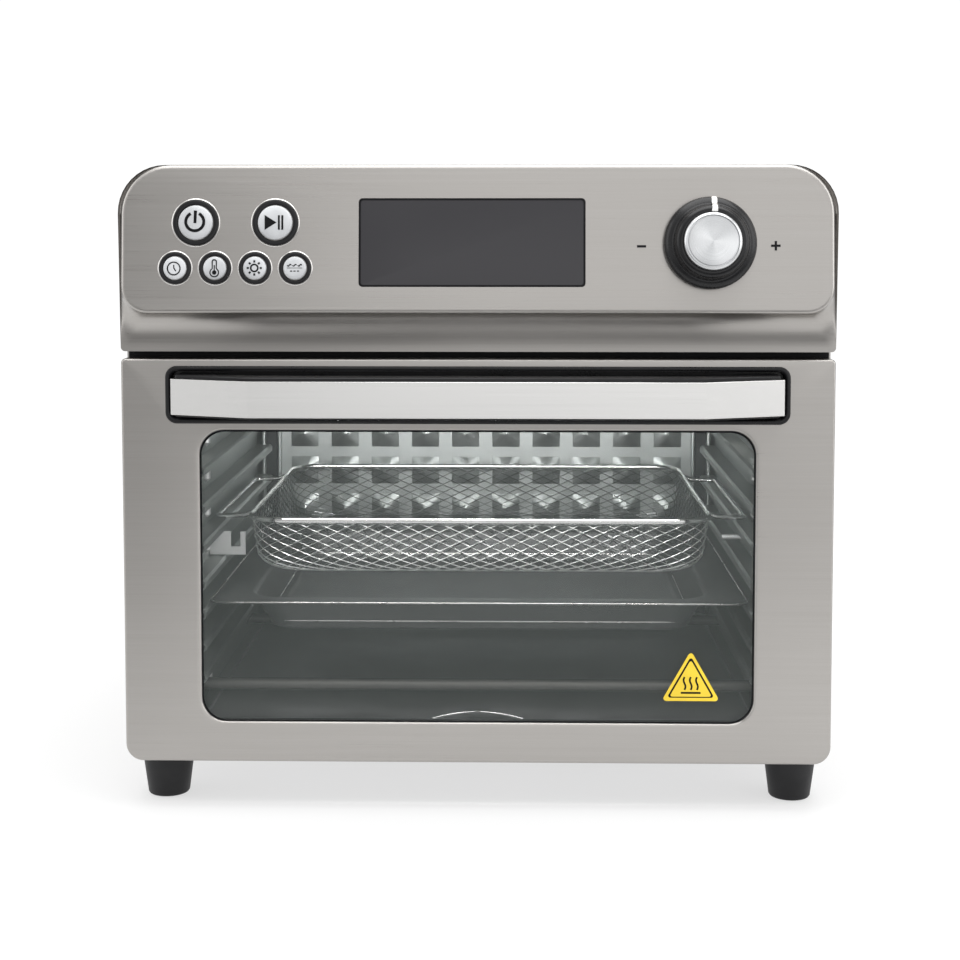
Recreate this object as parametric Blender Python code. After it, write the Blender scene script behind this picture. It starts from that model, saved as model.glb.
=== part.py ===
# A countertop toaster oven with an air-fry basket, as an assembly of separate pieces.
# Blender works in metres and MM turns the millimetres below into them. +X is to the
# right of someone facing the door, +Y runs from the door to the back, +Z is up, and the
# origin is on the worktop under the middle of the oven. In the helpers, depth is counted
# from the outer face of the closed door, positive towards the back.
import math

import bmesh
import bpy
from mathutils import Matrix, Vector

MM = 0.001
SHEET = 0.8
GAP = 0.3

# outside
WIDTH = 400.0
TOP = 366.0
BASE = 28.0
SHOULDER = 27.0
FOOT_X = 182.0
FRONT_REACH = 30.2
BACK_REACH = 352.5
FRAME_FRONT = 17.0
REAR_FACE = 345.2
DOOR_DEPTH = -(BACK_REACH - FRONT_REACH) / 2.0

# cooking cavity
CAVITY_HALF = 168.0
CAVITY_FLOOR = 43.8
CAVITY_CEILING = 240.0
CAVITY_BACK = 300.0
CAVITY_CORNER = 9.6
CAVITY_FRONT = 18.6
RAIL_REACH = 11.0
RAIL_HEIGHT = 6.0
RAILS = (71.0, 89.0, 107.7, 125.0, 147.0, 169.0, 191.0)
HEATER_RADIUS = 3.5
HEATERS = {
    "heater_lower_front": (70.0, 54.0),
    "heater_lower_rear": (240.0, 54.0),
    "heater_upper_front": (70.0, 228.0),
    "heater_upper_rear": (240.0, 228.0),
}

# door
DOOR_BOTTOM = 28.0
DOOR_TOP = 258.0
HINGE_DEPTH = 8.0
HINGE_HEIGHT = 33.0
WINDOW = (-156.0, 156.0, 51.3, 217.6)
HANDLE_HALF = 172.0
HANDLE_FLAT_HALF = 125.0
HANDLE_REACH = 25.0
ARM_RADIUS = 100.0
ARM_X = 184.0

# control panel, tilted back about X
PANEL_TILT = 5.0
PANEL_HEIGHT = 325.0
PANEL_DEPTH = -9.81
DISPLAY = (-2.5, -1.9, 125.0, 49.0)
KNOB_AT = (128.0, -2.4)
PANEL_DRAFT = 3.2
BIG_BUTTON = 9.5
SMALL_BUTTON = 6.35
COLLARS = {BIG_BUTTON: 12.6, SMALL_BUTTON: 8.8}
BUTTONS = {
    "button_power": (-155.0, 9.0, BIG_BUTTON),
    "button_start_pause": (-111.0, 9.0, BIG_BUTTON),
    "button_timer": (-166.4, -16.1, SMALL_BUTTON),
    "button_temperature": (-144.3, -16.1, SMALL_BUTTON),
    "button_light": (-122.2, -16.1, SMALL_BUTTON),
    "button_mode": (-100.0, -16.1, SMALL_BUTTON),
}

# fan, lamp and probe
FAN_DEPTH = 160.0
LAMP = (155.0, 215.0)
PROBE = (110.0, 215.0)
SPIT_DEPTH = 92.0
GLAND = (-150.0, 62.0)

# what slides in
BASKET = (-140.0, 140.0, 60.0, 288.0)
BASKET_RIM = 156.0
BASKET_FLOOR = 122.0
PAN = (-159.0, 159.0, 35.0, 288.0)
PAN_RIM = 111.0
PAN_FLOOR = 90.0
TRAY = (-160.0, 160.0, 19.5, 285.0)

STEEL = ((0.62, 0.61, 0.59), 0.32, 1.0)
DARK_STEEL = ((0.30, 0.31, 0.31), 0.45, 1.0)
ENAMEL = ((0.20, 0.21, 0.21), 0.40, 0.8)
BLACK_PLASTIC = ((0.02, 0.02, 0.022), 0.45, 0.0)
SATIN_SILVER = ((0.78, 0.78, 0.79), 0.25, 1.0)
GLASS = ((0.30, 0.34, 0.33), 0.05, 0.0)
BOARD = ((0.05, 0.22, 0.10), 0.55, 0.0)
RUBBER = ((0.03, 0.03, 0.03), 0.80, 0.0)


# ---- outlines, counter-clockwise lists of flat points ----

def arc(cx, cy, radius, start, end, steps):
    turns = [math.radians(start + (end - start) * i / steps) for i in range(steps + 1)]
    return [(cx + radius * math.cos(a), cy + radius * math.sin(a)) for a in turns]


def rounded(box, lower, upper, steps=4):
    # rectangle with one radius at both lower corners and another at both upper ones
    x0, x1, y0, y1 = box
    return (arc(x1 - lower, y0 + lower, lower, -90, 0, steps)
            + arc(x1 - upper, y1 - upper, upper, 0, 90, steps)
            + arc(x0 + upper, y1 - upper, upper, 90, 180, steps)
            + arc(x0 + lower, y0 + lower, lower, 180, 270, steps))


def inset(box, amount):
    x0, x1, y0, y1 = box
    return (x0 + amount, x1 - amount, y0 + amount, y1 - amount)


def rectangle(x0, x1, y0, y1):
    return [(x0, y0), (x1, y0), (x1, y1), (x0, y1)]


def centred(cx, cy, width, height):
    return (cx - width / 2, cx + width / 2, cy - height / 2, cy + height / 2)


def circle(cx, cy, radius, sides=20):
    return arc(cx, cy, radius, 0, 360, sides)[:-1]


# ---- outlines placed in space, still in millimetres ----

def facing_front(outline, depth):
    return [(x, depth, z) for x, z in outline]


def facing_up(outline, height):
    return [(x, depth, height) for x, depth in outline]


def facing_side(outline, x):
    return [(x, depth, z) for depth, z in outline]


def on_panel(outline, rise):
    # in the control panel's own frame: across, up along the face, out of the face
    return [(u, v, rise) for u, v in outline]


def panel_to_body(outline, rise):
    tilt = math.radians(PANEL_TILT)
    return [(u,
             PANEL_DEPTH + v * math.sin(tilt) - rise * math.cos(tilt),
             PANEL_HEIGHT + v * math.cos(tilt) + rise * math.sin(tilt))
            for u, v in outline]


# ---- solids ----

def material(name, look):
    colour, roughness, metallic = look
    made = bpy.data.materials.new(name)
    made.use_nodes = True
    shader = made.node_tree.nodes["Principled BSDF"]
    shader.inputs["Base Color"].default_value = (*colour, 1.0)
    shader.inputs["Roughness"].default_value = roughness
    shader.inputs["Metallic"].default_value = metallic
    return made


def node(name, bm, look, carrier=None, at=None, smooth=False):
    # a piece in the body's frame is shifted so depth 0 is the door's face; a piece given
    # a place stands there in its carrier's own frame
    if at is None:
        bmesh.ops.translate(bm, verts=bm.verts, vec=(0.0, DOOR_DEPTH, 0.0))
    bmesh.ops.scale(bm, verts=bm.verts, vec=(MM, MM, MM))
    bmesh.ops.recalc_face_normals(bm, faces=bm.faces)
    mesh = bpy.data.meshes.new(name)
    bm.to_mesh(mesh)
    bm.free()
    mesh.materials.append(material(name, look))
    if smooth:
        mesh.shade_smooth()
        mesh.set_sharp_from_angle(angle=math.radians(35))
    piece = bpy.data.objects.new(name, mesh)
    bpy.context.scene.collection.objects.link(piece)
    if carrier is not None:
        piece.parent = carrier
    if at is not None:
        piece.location = Vector(at) * MM
    elif carrier is not None:
        piece.matrix_parent_inverse = Matrix.Translation(-carrier.location)
    return piece


def add_ring(bm, points):
    return [bm.verts.new(p) for p in points]


def add_skin(bm, first, second):
    for i in range(len(first)):
        j = (i + 1) % len(first)
        bm.faces.new((first[i], first[j], second[j], second[i]))


def add_cap(bm, rings):
    edges = []
    for ring in rings:
        for i, vert in enumerate(ring):
            pair = (vert, ring[(i + 1) % len(ring)])
            edges.append(bm.edges.get(pair) or bm.edges.new(pair))
    bmesh.ops.triangle_fill(bm, use_beauty=True, use_dissolve=False, edges=edges)


def loft(name, rings, look, holes=(), **options):
    # skins run from ring to ring, the first and last rings are closed by flat caps, and
    # each hole is a pair of rings, one lying in each cap
    bm = bmesh.new()
    rows = [add_ring(bm, ring) for ring in rings]
    for first, second in zip(rows, rows[1:]):
        add_skin(bm, first, second)
    pairs = [(add_ring(bm, a), add_ring(bm, b)) for a, b in holes]
    for first, second in pairs:
        add_skin(bm, first, second)
    add_cap(bm, [rows[0]] + [a for a, b in pairs])
    add_cap(bm, [rows[-1]] + [b for a, b in pairs])
    return node(name, bm, look, **options)


def closed_loft(name, rings, look, **options):
    bm = bmesh.new()
    rows = [add_ring(bm, ring) for ring in rings]
    for first, second in zip(rows, rows[1:] + rows[:1]):
        add_skin(bm, first, second)
    return node(name, bm, look, **options)


def plate(name, place, outline, low, high, look, holes=(), **options):
    pairs = [(place(hole, low), place(hole, high)) for hole in holes]
    return loft(name, [place(outline, low), place(outline, high)], look, pairs, **options)


def dish(name, place, box, radii, face, back, rim, look, holes=(), steps=4, **options):
    # a pressed cover: a face with turned edges that reach from the face to the rim
    lower, upper = radii
    thick = abs(face - back)
    outside = rounded(box, lower, upper, steps)
    inside = rounded(inset(box, thick), lower - thick, upper - thick, steps)
    rings = [place(inside, back), place(inside, rim), place(outside, rim), place(outside, face)]
    pairs = [(place(hole, back), place(hole, face)) for hole in holes]
    return loft(name, rings, look, pairs, **options)


def spun(axis, centre, radius, along, sides):
    a, b = centre
    flat = circle(a, b, radius, sides)
    if axis == "X":
        return facing_side(flat, along)
    if axis == "Y":
        return facing_front(flat, along)
    return facing_up(flat, along)


def turned(name, axis, centre, profile, look, sides=20, bored=False, **options):
    # profile points are (radius, place along the axis)
    rings = [spun(axis, centre, radius, along, sides) for radius, along in profile]
    build = closed_loft if bored else loft
    return build(name, rings, look, smooth=True, **options)


def wire(name, path, radius, look, closed, sides=6, **options):
    # a round wire along a path; its section stays square to the path
    points = [Vector(p) for p in path]
    count = len(points)
    rings = []
    for i, point in enumerate(points):
        before = points[i - 1] if closed or i > 0 else point
        after = points[(i + 1) % count] if closed or i < count - 1 else point
        along = (after - before).normalized()
        side = along.cross(Vector((0.0, 0.0, 1.0))).normalized()
        over = side.cross(along)
        turns = [2 * math.pi * k / sides for k in range(sides)]
        rings.append([point + side * radius * math.cos(a) + over * radius * math.sin(a)
                      for a in turns])
    build = closed_loft if closed else loft
    return build(name, rings, look, smooth=True, **options)


def tool(piece):
    piece.hide_render = True
    piece.display_type = "WIRE"
    return piece


def combine(piece, other, operation):
    step = piece.modifiers.new(operation.lower(), "BOOLEAN")
    step.operation = operation
    step.solver = "EXACT"
    step.object = other


def fuse(piece, others):
    for other in others:
        combine(piece, tool(other), "UNION")


def block(name, x, depth, z, look, **options):
    return plate(name, facing_front, rectangle(*x, *z), depth[0], depth[1], look, **options)


def axis_marker(name, location, turn=(0.0, 0.0, 0.0)):
    marker = bpy.data.objects.new(name, None)
    marker.location = Vector(location) * MM
    marker.rotation_euler = [math.radians(a) for a in turn]
    marker.empty_display_size = 0.02
    bpy.context.scene.collection.objects.link(marker)
    return marker


# ---- body ----

def make_outer_wrap():
    half = WIDTH / 2
    inner = half - 0.9
    radius = SHOULDER - 0.9
    outline = ([(half, BASE)] + arc(half - SHOULDER, TOP - SHOULDER, SHOULDER, 0, 90, 6)
               + arc(SHOULDER - half, TOP - SHOULDER, SHOULDER, 90, 180, 6) + [(-half, BASE)]
               + [(-inner, BASE)] + arc(SHOULDER - half, TOP - SHOULDER, radius, 180, 90, 6)
               + arc(half - SHOULDER, TOP - SHOULDER, radius, 90, 0, 6) + [(inner, BASE)])
    wrap = plate("outer_wrap", facing_front, outline, FRAME_FRONT, REAR_FACE - 0.6, STEEL)
    for row in range(6):
        low = 286.0 + 9.0 * row
        slot = block("wrap_slots_%d" % row, (-210.0, 210.0), (220.0, 310.0), (low, low + 3.2), STEEL)
        combine(wrap, tool(slot), "DIFFERENCE")


def body_box(margin):
    half = WIDTH / 2 - 0.9 - margin
    return (-half, half, BASE + GAP, TOP - 0.9 - margin)


def make_front_frame():
    opening = rounded((-CAVITY_HALF + GAP, CAVITY_HALF - GAP, CAVITY_FLOOR, CAVITY_CEILING - GAP), 1, 1, 2)
    controls = rectangle(-150.0, 150.0, 272.0, 350.0)
    slots = [rectangle(x - 2.5, x + 2.5, 129.0, 136.4) for x in (-ARM_X, ARM_X)]
    dish("front_frame", facing_front, body_box(GAP), (6.0, SHOULDER - 1.2), FRAME_FRONT,
         FRAME_FRONT + 1.0, FRAME_FRONT + 11.0, DARK_STEEL, [opening, controls] + slots, steps=5)


def make_rear_cover():
    slots = [rectangle(x - 1.7, x + 1.7, low, low + 32.0)
             for low in (262.0, 308.0) for x in [12.0 * i - 66.0 for i in range(12)]]
    hole = circle(*GLAND, 7.6, 16)
    dish("rear_cover", facing_front, body_box(GAP), (6.0, SHOULDER - 1.2), REAR_FACE,
         REAR_FACE - 1.0, REAR_FACE - 11.0, DARK_STEEL, slots + [hole], steps=5)


def make_base_plate():
    half = WIDTH / 2 - 1.2
    slots = [rectangle(x - 1.7, x + 1.7, low, low + 45.0)
             for low in (90.0, 230.0) for x in [18.0 * i - 81.0 for i in range(10)]]
    box = (-half, half, FRAME_FRONT + 11.6, REAR_FACE - 11.6)
    dish("base_plate", facing_up, box, (2.0, 2.0), BASE, BASE + SHEET, BASE + 9.0,
         DARK_STEEL, slots, steps=2)


def make_cord_gland():
    profile = [(3.6, 338.0), (7.0, 338.0), (7.0, REAR_FACE + GAP), (10.5, REAR_FACE + GAP),
               (9.0, BACK_REACH), (3.6, BACK_REACH)]
    turned("cord_gland", "Y", GLAND, profile, BLACK_PLASTIC, 16, bored=True)


def make_feet():
    profile = [(11.0, 0.0), (12.0, 1.0), (14.8, 25.7), (15.3, BASE - GAP)]
    places = {"front_left": (-FOOT_X, 32.0), "front_right": (FOOT_X, 32.0),
              "rear_left": (-FOOT_X, 312.0), "rear_right": (FOOT_X, 312.0)}
    for corner, place in places.items():
        turned("foot_" + corner, "Z", place, profile, RUBBER)


# ---- cooking cavity ----

def rail_steps(thick, side):
    # the pressed rails seen from the front, from the floor up
    reach = RAIL_REACH
    half = RAIL_HEIGHT / 2 - thick
    wall = CAVITY_HALF + thick
    nose = CAVITY_HALF - reach + thick
    points = []
    for z in RAILS:
        points += [(wall, z - half), (nose + 1.5, z - half), (nose, z - half + 1.3),
                   (nose, z + half - 1.3), (nose + 1.5, z + half), (wall, z + half)]
    low, high = CAVITY_FLOOR + GAP, CAVITY_CEILING - GAP
    return [(side * x, z) for x, z in [(wall, low)] + points + [(wall, high)]]


def make_side_walls():
    ends = [turned("bore_" + name, "X", place, [(HEATER_RADIUS + 1.0, -175.0), (HEATER_RADIUS + 1.0, 175.0)],
                   ENAMEL, 12) for name, place in HEATERS.items()]
    for label, side in (("left", -1), ("right", 1)):
        outline = rail_steps(0.0, side) + rail_steps(SHEET, side)[::-1]
        wall = plate("cavity_%s_wall" % label, facing_front, outline, CAVITY_FRONT,
                     CAVITY_BACK - 10.4, ENAMEL)
        for end in ends:
            combine(wall, tool(end), "DIFFERENCE")
        if side > 0:
            hole = turned("bore_lamp", "X", LAMP, [(14.0, 150.0), (14.0, 180.0)], ENAMEL)
            combine(wall, tool(hole), "DIFFERENCE")


def make_spit_bracket():
    # an angle on the left wall between two rails, its front leg notched for the end of a spit
    low, high = RAILS[3] + RAIL_HEIGHT / 2 + 0.9, RAILS[4] - RAIL_HEIGHT / 2 - 0.7
    wall, tip, front = -CAVITY_HALF + GAP, -145.5, SPIT_DEPTH
    angle = [(wall, front), (tip, front), (tip, front + 1.2), (wall + 1.2, front + 1.2),
             (wall + 1.2, front + 16.0), (wall, front + 16.0)]
    bracket = plate("spit_bracket", facing_up, angle, low, high, STEEL)
    notch = block("spit_notch", (-154.6, -148.6), (front - 2.0, front + 4.0), (low + 5.0, high + 3.0), STEEL)
    combine(bracket, tool(notch), "DIFFERENCE")


def make_cavity_plates():
    half = CAVITY_HALF + SHEET
    outline = rectangle(-half, half, CAVITY_FRONT, CAVITY_BACK + 1.0)
    plate("cavity_floor", facing_up, outline, CAVITY_FLOOR - SHEET, CAVITY_FLOOR, ENAMEL)
    plate("cavity_ceiling", facing_up, outline, CAVITY_CEILING, CAVITY_CEILING + SHEET, ENAMEL,
          [circle(0.0, FAN_DEPTH, 52.0, 24)])


def make_back_wall():
    middle = CAVITY_HALF - CAVITY_CORNER
    centre = CAVITY_BACK - CAVITY_CORNER
    edge = centre - 0.5

    def bend(radius, turn):
        right = arc(middle, centre, radius, 0, 90, 4)
        left = arc(-middle, centre, radius, 90, 180, 4)
        path = [(middle + radius, edge)] + right + left + [(-middle - radius, edge)]
        return path[::turn]

    outline = bend(CAVITY_CORNER, 1) + bend(CAVITY_CORNER + SHEET, -1)
    wall = plate("cavity_back_wall", facing_up, outline, CAVITY_FLOOR + GAP,
                 CAVITY_CEILING - GAP, ENAMEL)
    hole = turned("bore_probe", "Y", PROBE, [(3.2, 290.0), (3.2, 310.0)], ENAMEL, 12)
    combine(wall, tool(hole), "DIFFERENCE")


def make_heaters():
    for name, place in HEATERS.items():
        profile = [(2.0, -178.0), (HEATER_RADIUS, -176.5), (HEATER_RADIUS, 176.5), (2.0, 178.0)]
        turned(name, "X", place, profile, SATIN_SILVER, 12)


def make_lamp_and_probe():
    lens = [(13.4, 171.0), (13.4, 167.7), (16.5, 167.7), (16.5, 166.2), (13.0, 163.0), (6.0, 161.0)]
    turned("lamp_lens", "X", LAMP, lens, GLASS)
    turned("lamp_socket", "X", LAMP, [(12.0, 171.4), (12.0, 184.0), (8.0, 190.0)], SATIN_SILVER)
    probe = [(1.5, 286.0), (2.4, 288.0), (2.4, 301.2), (6.0, 301.2), (6.0, 303.2), (2.4, 303.2), (2.4, 314.0)]
    turned("temperature_sensor", "Y", PROBE, probe, SATIN_SILVER, 12)


def make_fan(carrier):
    centre = (0.0, FAN_DEPTH)
    slots = []
    for i in range(12):
        turn = Matrix.Rotation(2 * math.pi * i / 12, 2)
        corners = [turn @ Vector(p) for p in ((16.0, -1.8), (48.0, -5.0), (48.0, 5.0), (16.0, 1.8))]
        slots.append([(p.x, p.y + FAN_DEPTH) for p in corners])
    plate("fan_grille", facing_up, circle(*centre, 58.0, 24), CAVITY_CEILING - 1.2,
          CAVITY_CEILING - GAP, STEEL, slots)
    low = CAVITY_CEILING + SHEET + GAP
    top = low + 21.0
    cover = [(5.0, top - 1.0), (59.0, top - 1.0), (59.0, low), (60.0, low), (60.0, top), (5.0, top)]
    turned("fan_housing", "Z", centre, cover, DARK_STEEL, 24, bored=True)
    bore = [(3.6, top + 13.0), (3.6, top + GAP), (25.0, top + GAP), (25.0, top + 30.0), (10.0, top + 36.0)]
    turned("fan_motor", "Z", centre, bore, DARK_STEEL, 20)
    star = []
    for i in range(8):
        turn = Matrix.Rotation(2 * math.pi * i / 8, 2)
        for p in ((9.0, -1.2), (46.0, -1.2), (46.0, 1.2), (9.0, 1.2)):
            point = turn @ Vector(p)
            star.append((point.x, point.y + FAN_DEPTH))
    blade = plate("fan_blade", facing_up, star, low + 4.0, low + 15.0, STEEL, carrier=carrier)
    shaft = turned("fan_shaft", "Z", centre, [(3.0, low + 6.0), (3.0, top + 12.0)], STEEL, 12)
    fuse(blade, [shaft])


# ---- door ----

def make_door(carrier):
    half = WIDTH / 2
    window = rounded(WINDOW, 13.5, 13.5, 5)
    grip = (-HANDLE_HALF - 1.5, HANDLE_HALF + 1.5, 222.9, 252.5)
    panel = dish("door_panel", facing_front, (-half, half, DOOR_BOTTOM, DOOR_TOP), (10.0, 2.5),
                 0.0, SHEET, 12.0, STEEL, [window, rounded(grip, 5.3, 5.3, 3)], steps=5,
                 carrier=carrier)
    for side in (-1, 1):
        x = sorted((side * 187.5, side * 193.0))
        notch = block("door_notch_%s" % ("left" if side < 0 else "right"), x, (3.0, 14.0),
                      (25.0, 30.0), STEEL)
        combine(panel, tool(notch), "DIFFERENCE")
    pane = rounded((-164.0, 164.0, 44.5, 221.5), 12.0, 12.0, 3)
    plate("door_glass", facing_front, pane, SHEET + GAP, SHEET + GAP + 4.0, GLASS, carrier=carrier)
    outer = (-half + 1.1, half - 1.1, 37.2, DOOR_TOP - 1.1)
    view = (-158.0, 158.0, 49.5, 218.5)
    rings = [(outer, 5.0, 5.5), (outer, 5.0, 13.0), (view, 10.0, 13.0), (view, 10.0, 5.4),
             (inset(view, -1.0), 11.0, 5.4), (inset(view, -1.0), 11.0, 12.2),
             (inset(outer, SHEET), 4.2, 12.2), (inset(outer, SHEET), 4.2, 5.5)]
    closed_loft("door_inner_frame",
                [facing_front(rounded(box, r, r, 4), depth) for box, r, depth in rings],
                DARK_STEEL, carrier=carrier)


def make_handle(carrier):
    cup = (-HANDLE_HALF, HANDLE_HALF, 224.4, 251.0)
    wall = inset(cup, -1.2)
    lip = inset(cup, -3.0)
    rings = [(cup, 4.0, 7.0), (cup, 4.0, -1.2), (lip, 6.0, -1.2), (lip, 6.0, -GAP),
             (wall, 5.0, -GAP), (wall, 5.0, 8.0)]
    loft("handle_bezel", [facing_front(rounded(box, r, r, 3), depth) for box, r, depth in rings],
         BLACK_PLASTIC, carrier=carrier)
    flat, end, reach = HANDLE_FLAT_HALF, HANDLE_HALF, HANDLE_REACH
    body = [(-end + 2.2, -6.87), (-flat + 0.3, GAP + 1.4 - reach), (flat - 0.3, GAP + 1.4 - reach),
            (end - 2.2, -6.87), (end - 2.2, 6.7), (150.0, 6.7), (144.0, -5.0), (120.0, -11.0),
            (-120.0, -11.0), (-144.0, -5.0), (-150.0, 6.7), (-end + 2.2, 6.7)]
    plate("handle_body", facing_up, body, 226.0, 249.6, BLACK_PLASTIC, carrier=carrier)
    skin = [(-end, -8.0), (-flat, -reach), (flat, -reach), (end, -8.0),
            (end - 0.47, -6.68), (flat - 0.24, 1.4 - reach), (0.24 - flat, 1.4 - reach),
            (0.47 - end, -6.68)]
    plate("handle_plate", facing_up, skin, 226.4, 247.4, SATIN_SILVER, carrier=carrier)


def make_hinges(carrier):
    axis = (HINGE_DEPTH, HINGE_HEIGHT)
    outer_end = arc(*axis, ARM_RADIUS + 2.5, 0, 86, 14)
    inner_end = arc(*axis, ARM_RADIUS - 2.5, 86, 0, 14)
    foot = [(14.8, 152.0), (13.3, 152.0), (13.3, 112.0), (14.8, 112.0)]
    knuckle = [(1.1, 29.2)] + arc(*axis, 3.8, -90, 90, 6) + [(1.1, 36.8)]
    for label, side in (("left", -1), ("right", 1)):
        def across(a, b):
            return sorted((side * a, side * b))
        low, high = across(ARM_X - 1.5, ARM_X + 1.5)
        plate("hinge_arm_" + label, facing_side, outer_end + foot + inner_end, low, high,
              DARK_STEEL, carrier=carrier)
        low, high = across(170.0, 178.5)
        plate("hinge_barrel_" + label, facing_side, knuckle, low, high, DARK_STEEL,
              [circle(*axis, 2.15, 12)], carrier=carrier)
        bracket = block("hinge_bracket_" + label, across(181.0, 197.0), (15.7, 16.7), (29.3, 36.6), STEEL)
        web = block("hinge_web_" + label, across(189.0, 191.5), (5.5, 16.2), (30.5, 35.5), STEEL)
        low, high = across(169.5, 190.2)
        pin = turned("hinge_pin_" + label, "X", axis, [(1.8, low), (1.8, high)], STEEL, 12)
        fuse(bracket, [web, pin])
        turns, steps = 5, 10
        coil = []
        for i in range(turns * steps + 1):
            a = 2 * math.pi * i / steps
            x = side * (179.4 + 8.8 * i / (turns * steps))
            coil.append((x, HINGE_DEPTH + 2.95 * math.cos(a), HINGE_HEIGHT + 2.95 * math.sin(a)))
        spring_coil("hinge_spring_" + label, coil, 0.45)


def spring_coil(name, path, radius):
    # the wire's section is a square on its corner, set out from the coil's axis
    rings = []
    for x, depth, z in path:
        out = Vector((0.0, depth - HINGE_DEPTH, z - HINGE_HEIGHT)).normalized()
        across = Vector((1.0, 0.0, 0.0))
        point = Vector((x, depth, z))
        rings.append([point + across * radius, point + out * radius,
                      point - across * radius, point - out * radius])
    loft(name, rings, SATIN_SILVER)


# ---- controls ----

def make_fascia():
    half = WIDTH / 2
    lip = half - PANEL_DRAFT
    tilt = math.tan(math.radians(PANEL_TILT))

    def slanted(box, lower, upper, depth_low, slope, low):
        flat = rounded(box, lower, upper, 6)
        return [(x, depth_low + (z - low) * slope, z) for x, z in flat]

    def shell(thick):
        # from the rim against the front frame, along the sides and the neck, to the face
        base = (-half + thick, half - thick, 262.0 + thick, TOP - thick)
        edge = (-lip + thick, lip - thick, 284.0 + thick, TOP - thick)
        return [slanted(base, 2.5 - thick, SHOULDER - thick, 16.7, 0.0, 262.0),
                slanted(base, 2.5 - thick, SHOULDER - thick, 1.0 + thick, -0.035, 262.0),
                slanted(edge, 15.0 - thick, SHOULDER - thick, -11.2 + thick, tilt, 284.0)]

    bottom = (286.3 - PANEL_HEIGHT) / math.cos(math.radians(PANEL_TILT))
    ceiling = (TOP - 2.3 - PANEL_HEIGHT) / math.cos(math.radians(PANEL_TILT))
    face = (-lip + 2.3, lip - 2.3, bottom, ceiling)
    holes = [rounded(centred(*DISPLAY), 2.5, 2.5, 2), circle(*KNOB_AT, 5.0, 12)]
    holes += [circle(u, v, COLLARS[r] + GAP, 20) for u, v, r in BUTTONS.values()]
    outside = shell(0.0) + [panel_to_body(rounded(face, 12.7, SHOULDER - 2.3, 6), 0.0)]
    inside = shell(1.0) + [panel_to_body(rounded(face, 12.7, SHOULDER - 2.3, 6), -1.0)]
    pairs = [(panel_to_body(hole, -1.0), panel_to_body(hole, 0.0)) for hole in holes]
    loft("control_fascia", inside[::-1] + outside, STEEL, pairs, smooth=True)


def make_buttons(panel):
    outline = rounded((-184.0, -84.0, -28.0, 24.0), 6.0, 6.0, 3)
    front, back, rim = -1.3, -2.8, 0.9
    bm = bmesh.new()
    floor = add_ring(bm, on_panel(outline, front))
    under = add_ring(bm, on_panel(outline, back))
    add_skin(bm, floor, under)
    collars, bores = [], []
    for u, v, radius in BUTTONS.values():
        inner = circle(u, v, radius + 0.3)
        outer = circle(u, v, COLLARS[radius])
        chain = [add_ring(bm, on_panel(flat, rise)) for flat, rise in
                 ((outer, front), (outer, rim), (inner, rim), (inner, back))]
        for first, second in zip(chain, chain[1:]):
            add_skin(bm, first, second)
        collars.append(chain[0])
        bores.append(chain[-1])
    add_cap(bm, [floor] + collars)
    add_cap(bm, [under] + bores)
    node("button_carrier", bm, BLACK_PLASTIC, carrier=panel, at=(0.0, 0.0, 0.0))
    for name, (u, v, radius) in BUTTONS.items():
        profile = [(radius - 0.5, 2.2), (radius, 1.8), (radius, -3.1), (radius + 1.6, -3.1),
                   (radius + 1.6, -4.1)]
        turned(name, "Z", (0.0, 0.0), profile, SATIN_SILVER, carrier=panel, at=(u, v, 0.0))


def make_display(panel):
    u, v, width, height = DISPLAY
    lens = centred(u, v, width - 0.6, height - 0.6)
    flange = centred(u, v, width + 6.0, height + 6.0)
    rings = [on_panel(rounded(box, r, r, 2), rise) for box, r, rise in
             ((flange, 3.0, -2.5), (flange, 3.0, -1.3), (lens, 2.2, -1.3), (lens, 2.2, -0.4))]
    loft("display_lens", rings, GLASS, carrier=panel, at=(0.0, 0.0, 0.0))
    plate("display_module", on_panel, rectangle(*centred(u, v, 118.0, 42.0)), -8.0, -2.8,
          BLACK_PLASTIC, carrier=panel, at=(0.0, 0.0, 0.0))
    plate("control_board", on_panel, rectangle(-182.0, 160.0, -29.0, 29.0), -10.0, -8.4,
          BOARD, carrier=panel, at=(0.0, 0.0, 0.0))


def make_knob(panel):
    u, v = KNOB_AT
    encoder = [(8.0, -8.1), (8.0, -1.3), (3.6, -1.3), (3.6, 2.0), (3.0, 2.0), (3.0, 12.0)]
    turned("encoder", "Z", (0.0, 0.0), encoder, DARK_STEEL, 16, carrier=panel, at=(u, v, 0.0))
    body = [(3.4, 12.5), (3.4, 2.4), (21.0, 2.4), (21.0, 1.0), (24.6, 1.0), (25.4, 2.0), (25.4, 5.0),
            (24.2, 7.5), (20.5, 9.0), (19.6, 12.0), (17.6, 15.0), (16.4, 15.5)]
    turned("knob_body", "Z", (0.0, 0.0), body, BLACK_PLASTIC, 32, carrier=panel, at=(u, v, 0.0))
    cap = [(15.6, 15.8), (15.6, 18.0), (14.2, 19.0)]
    turned("knob_cap", "Z", (0.0, 0.0), cap, SATIN_SILVER, 32, carrier=panel, at=(u, v, 0.0))


def make_electronics():
    dish("control_box", facing_front, (-149.6, 149.6, 272.4, 349.6), (3.0, 3.0), 42.0, 40.5, 4.5,
         BLACK_PLASTIC, steps=2)
    board = block("power_board", (-150.0, -62.0), (62.0, 165.0), (264.0, 265.6), BOARD)
    parts = [block("relay", (-140.0, -112.0), (72.0, 98.0), (265.0, 285.0), BOARD),
             block("choke", (-100.0, -74.0), (110.0, 140.0), (265.0, 290.0), BOARD)]
    for i, (x, depth) in enumerate(((-145, 67), (-67, 67), (-145, 160), (-67, 160))):
        low = CAVITY_CEILING + SHEET + GAP
        parts.append(turned("post_%d" % i, "Z", (x, depth), [(3.0, low), (3.0, 264.8)], BOARD, 8))
    fuse(board, parts)


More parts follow.
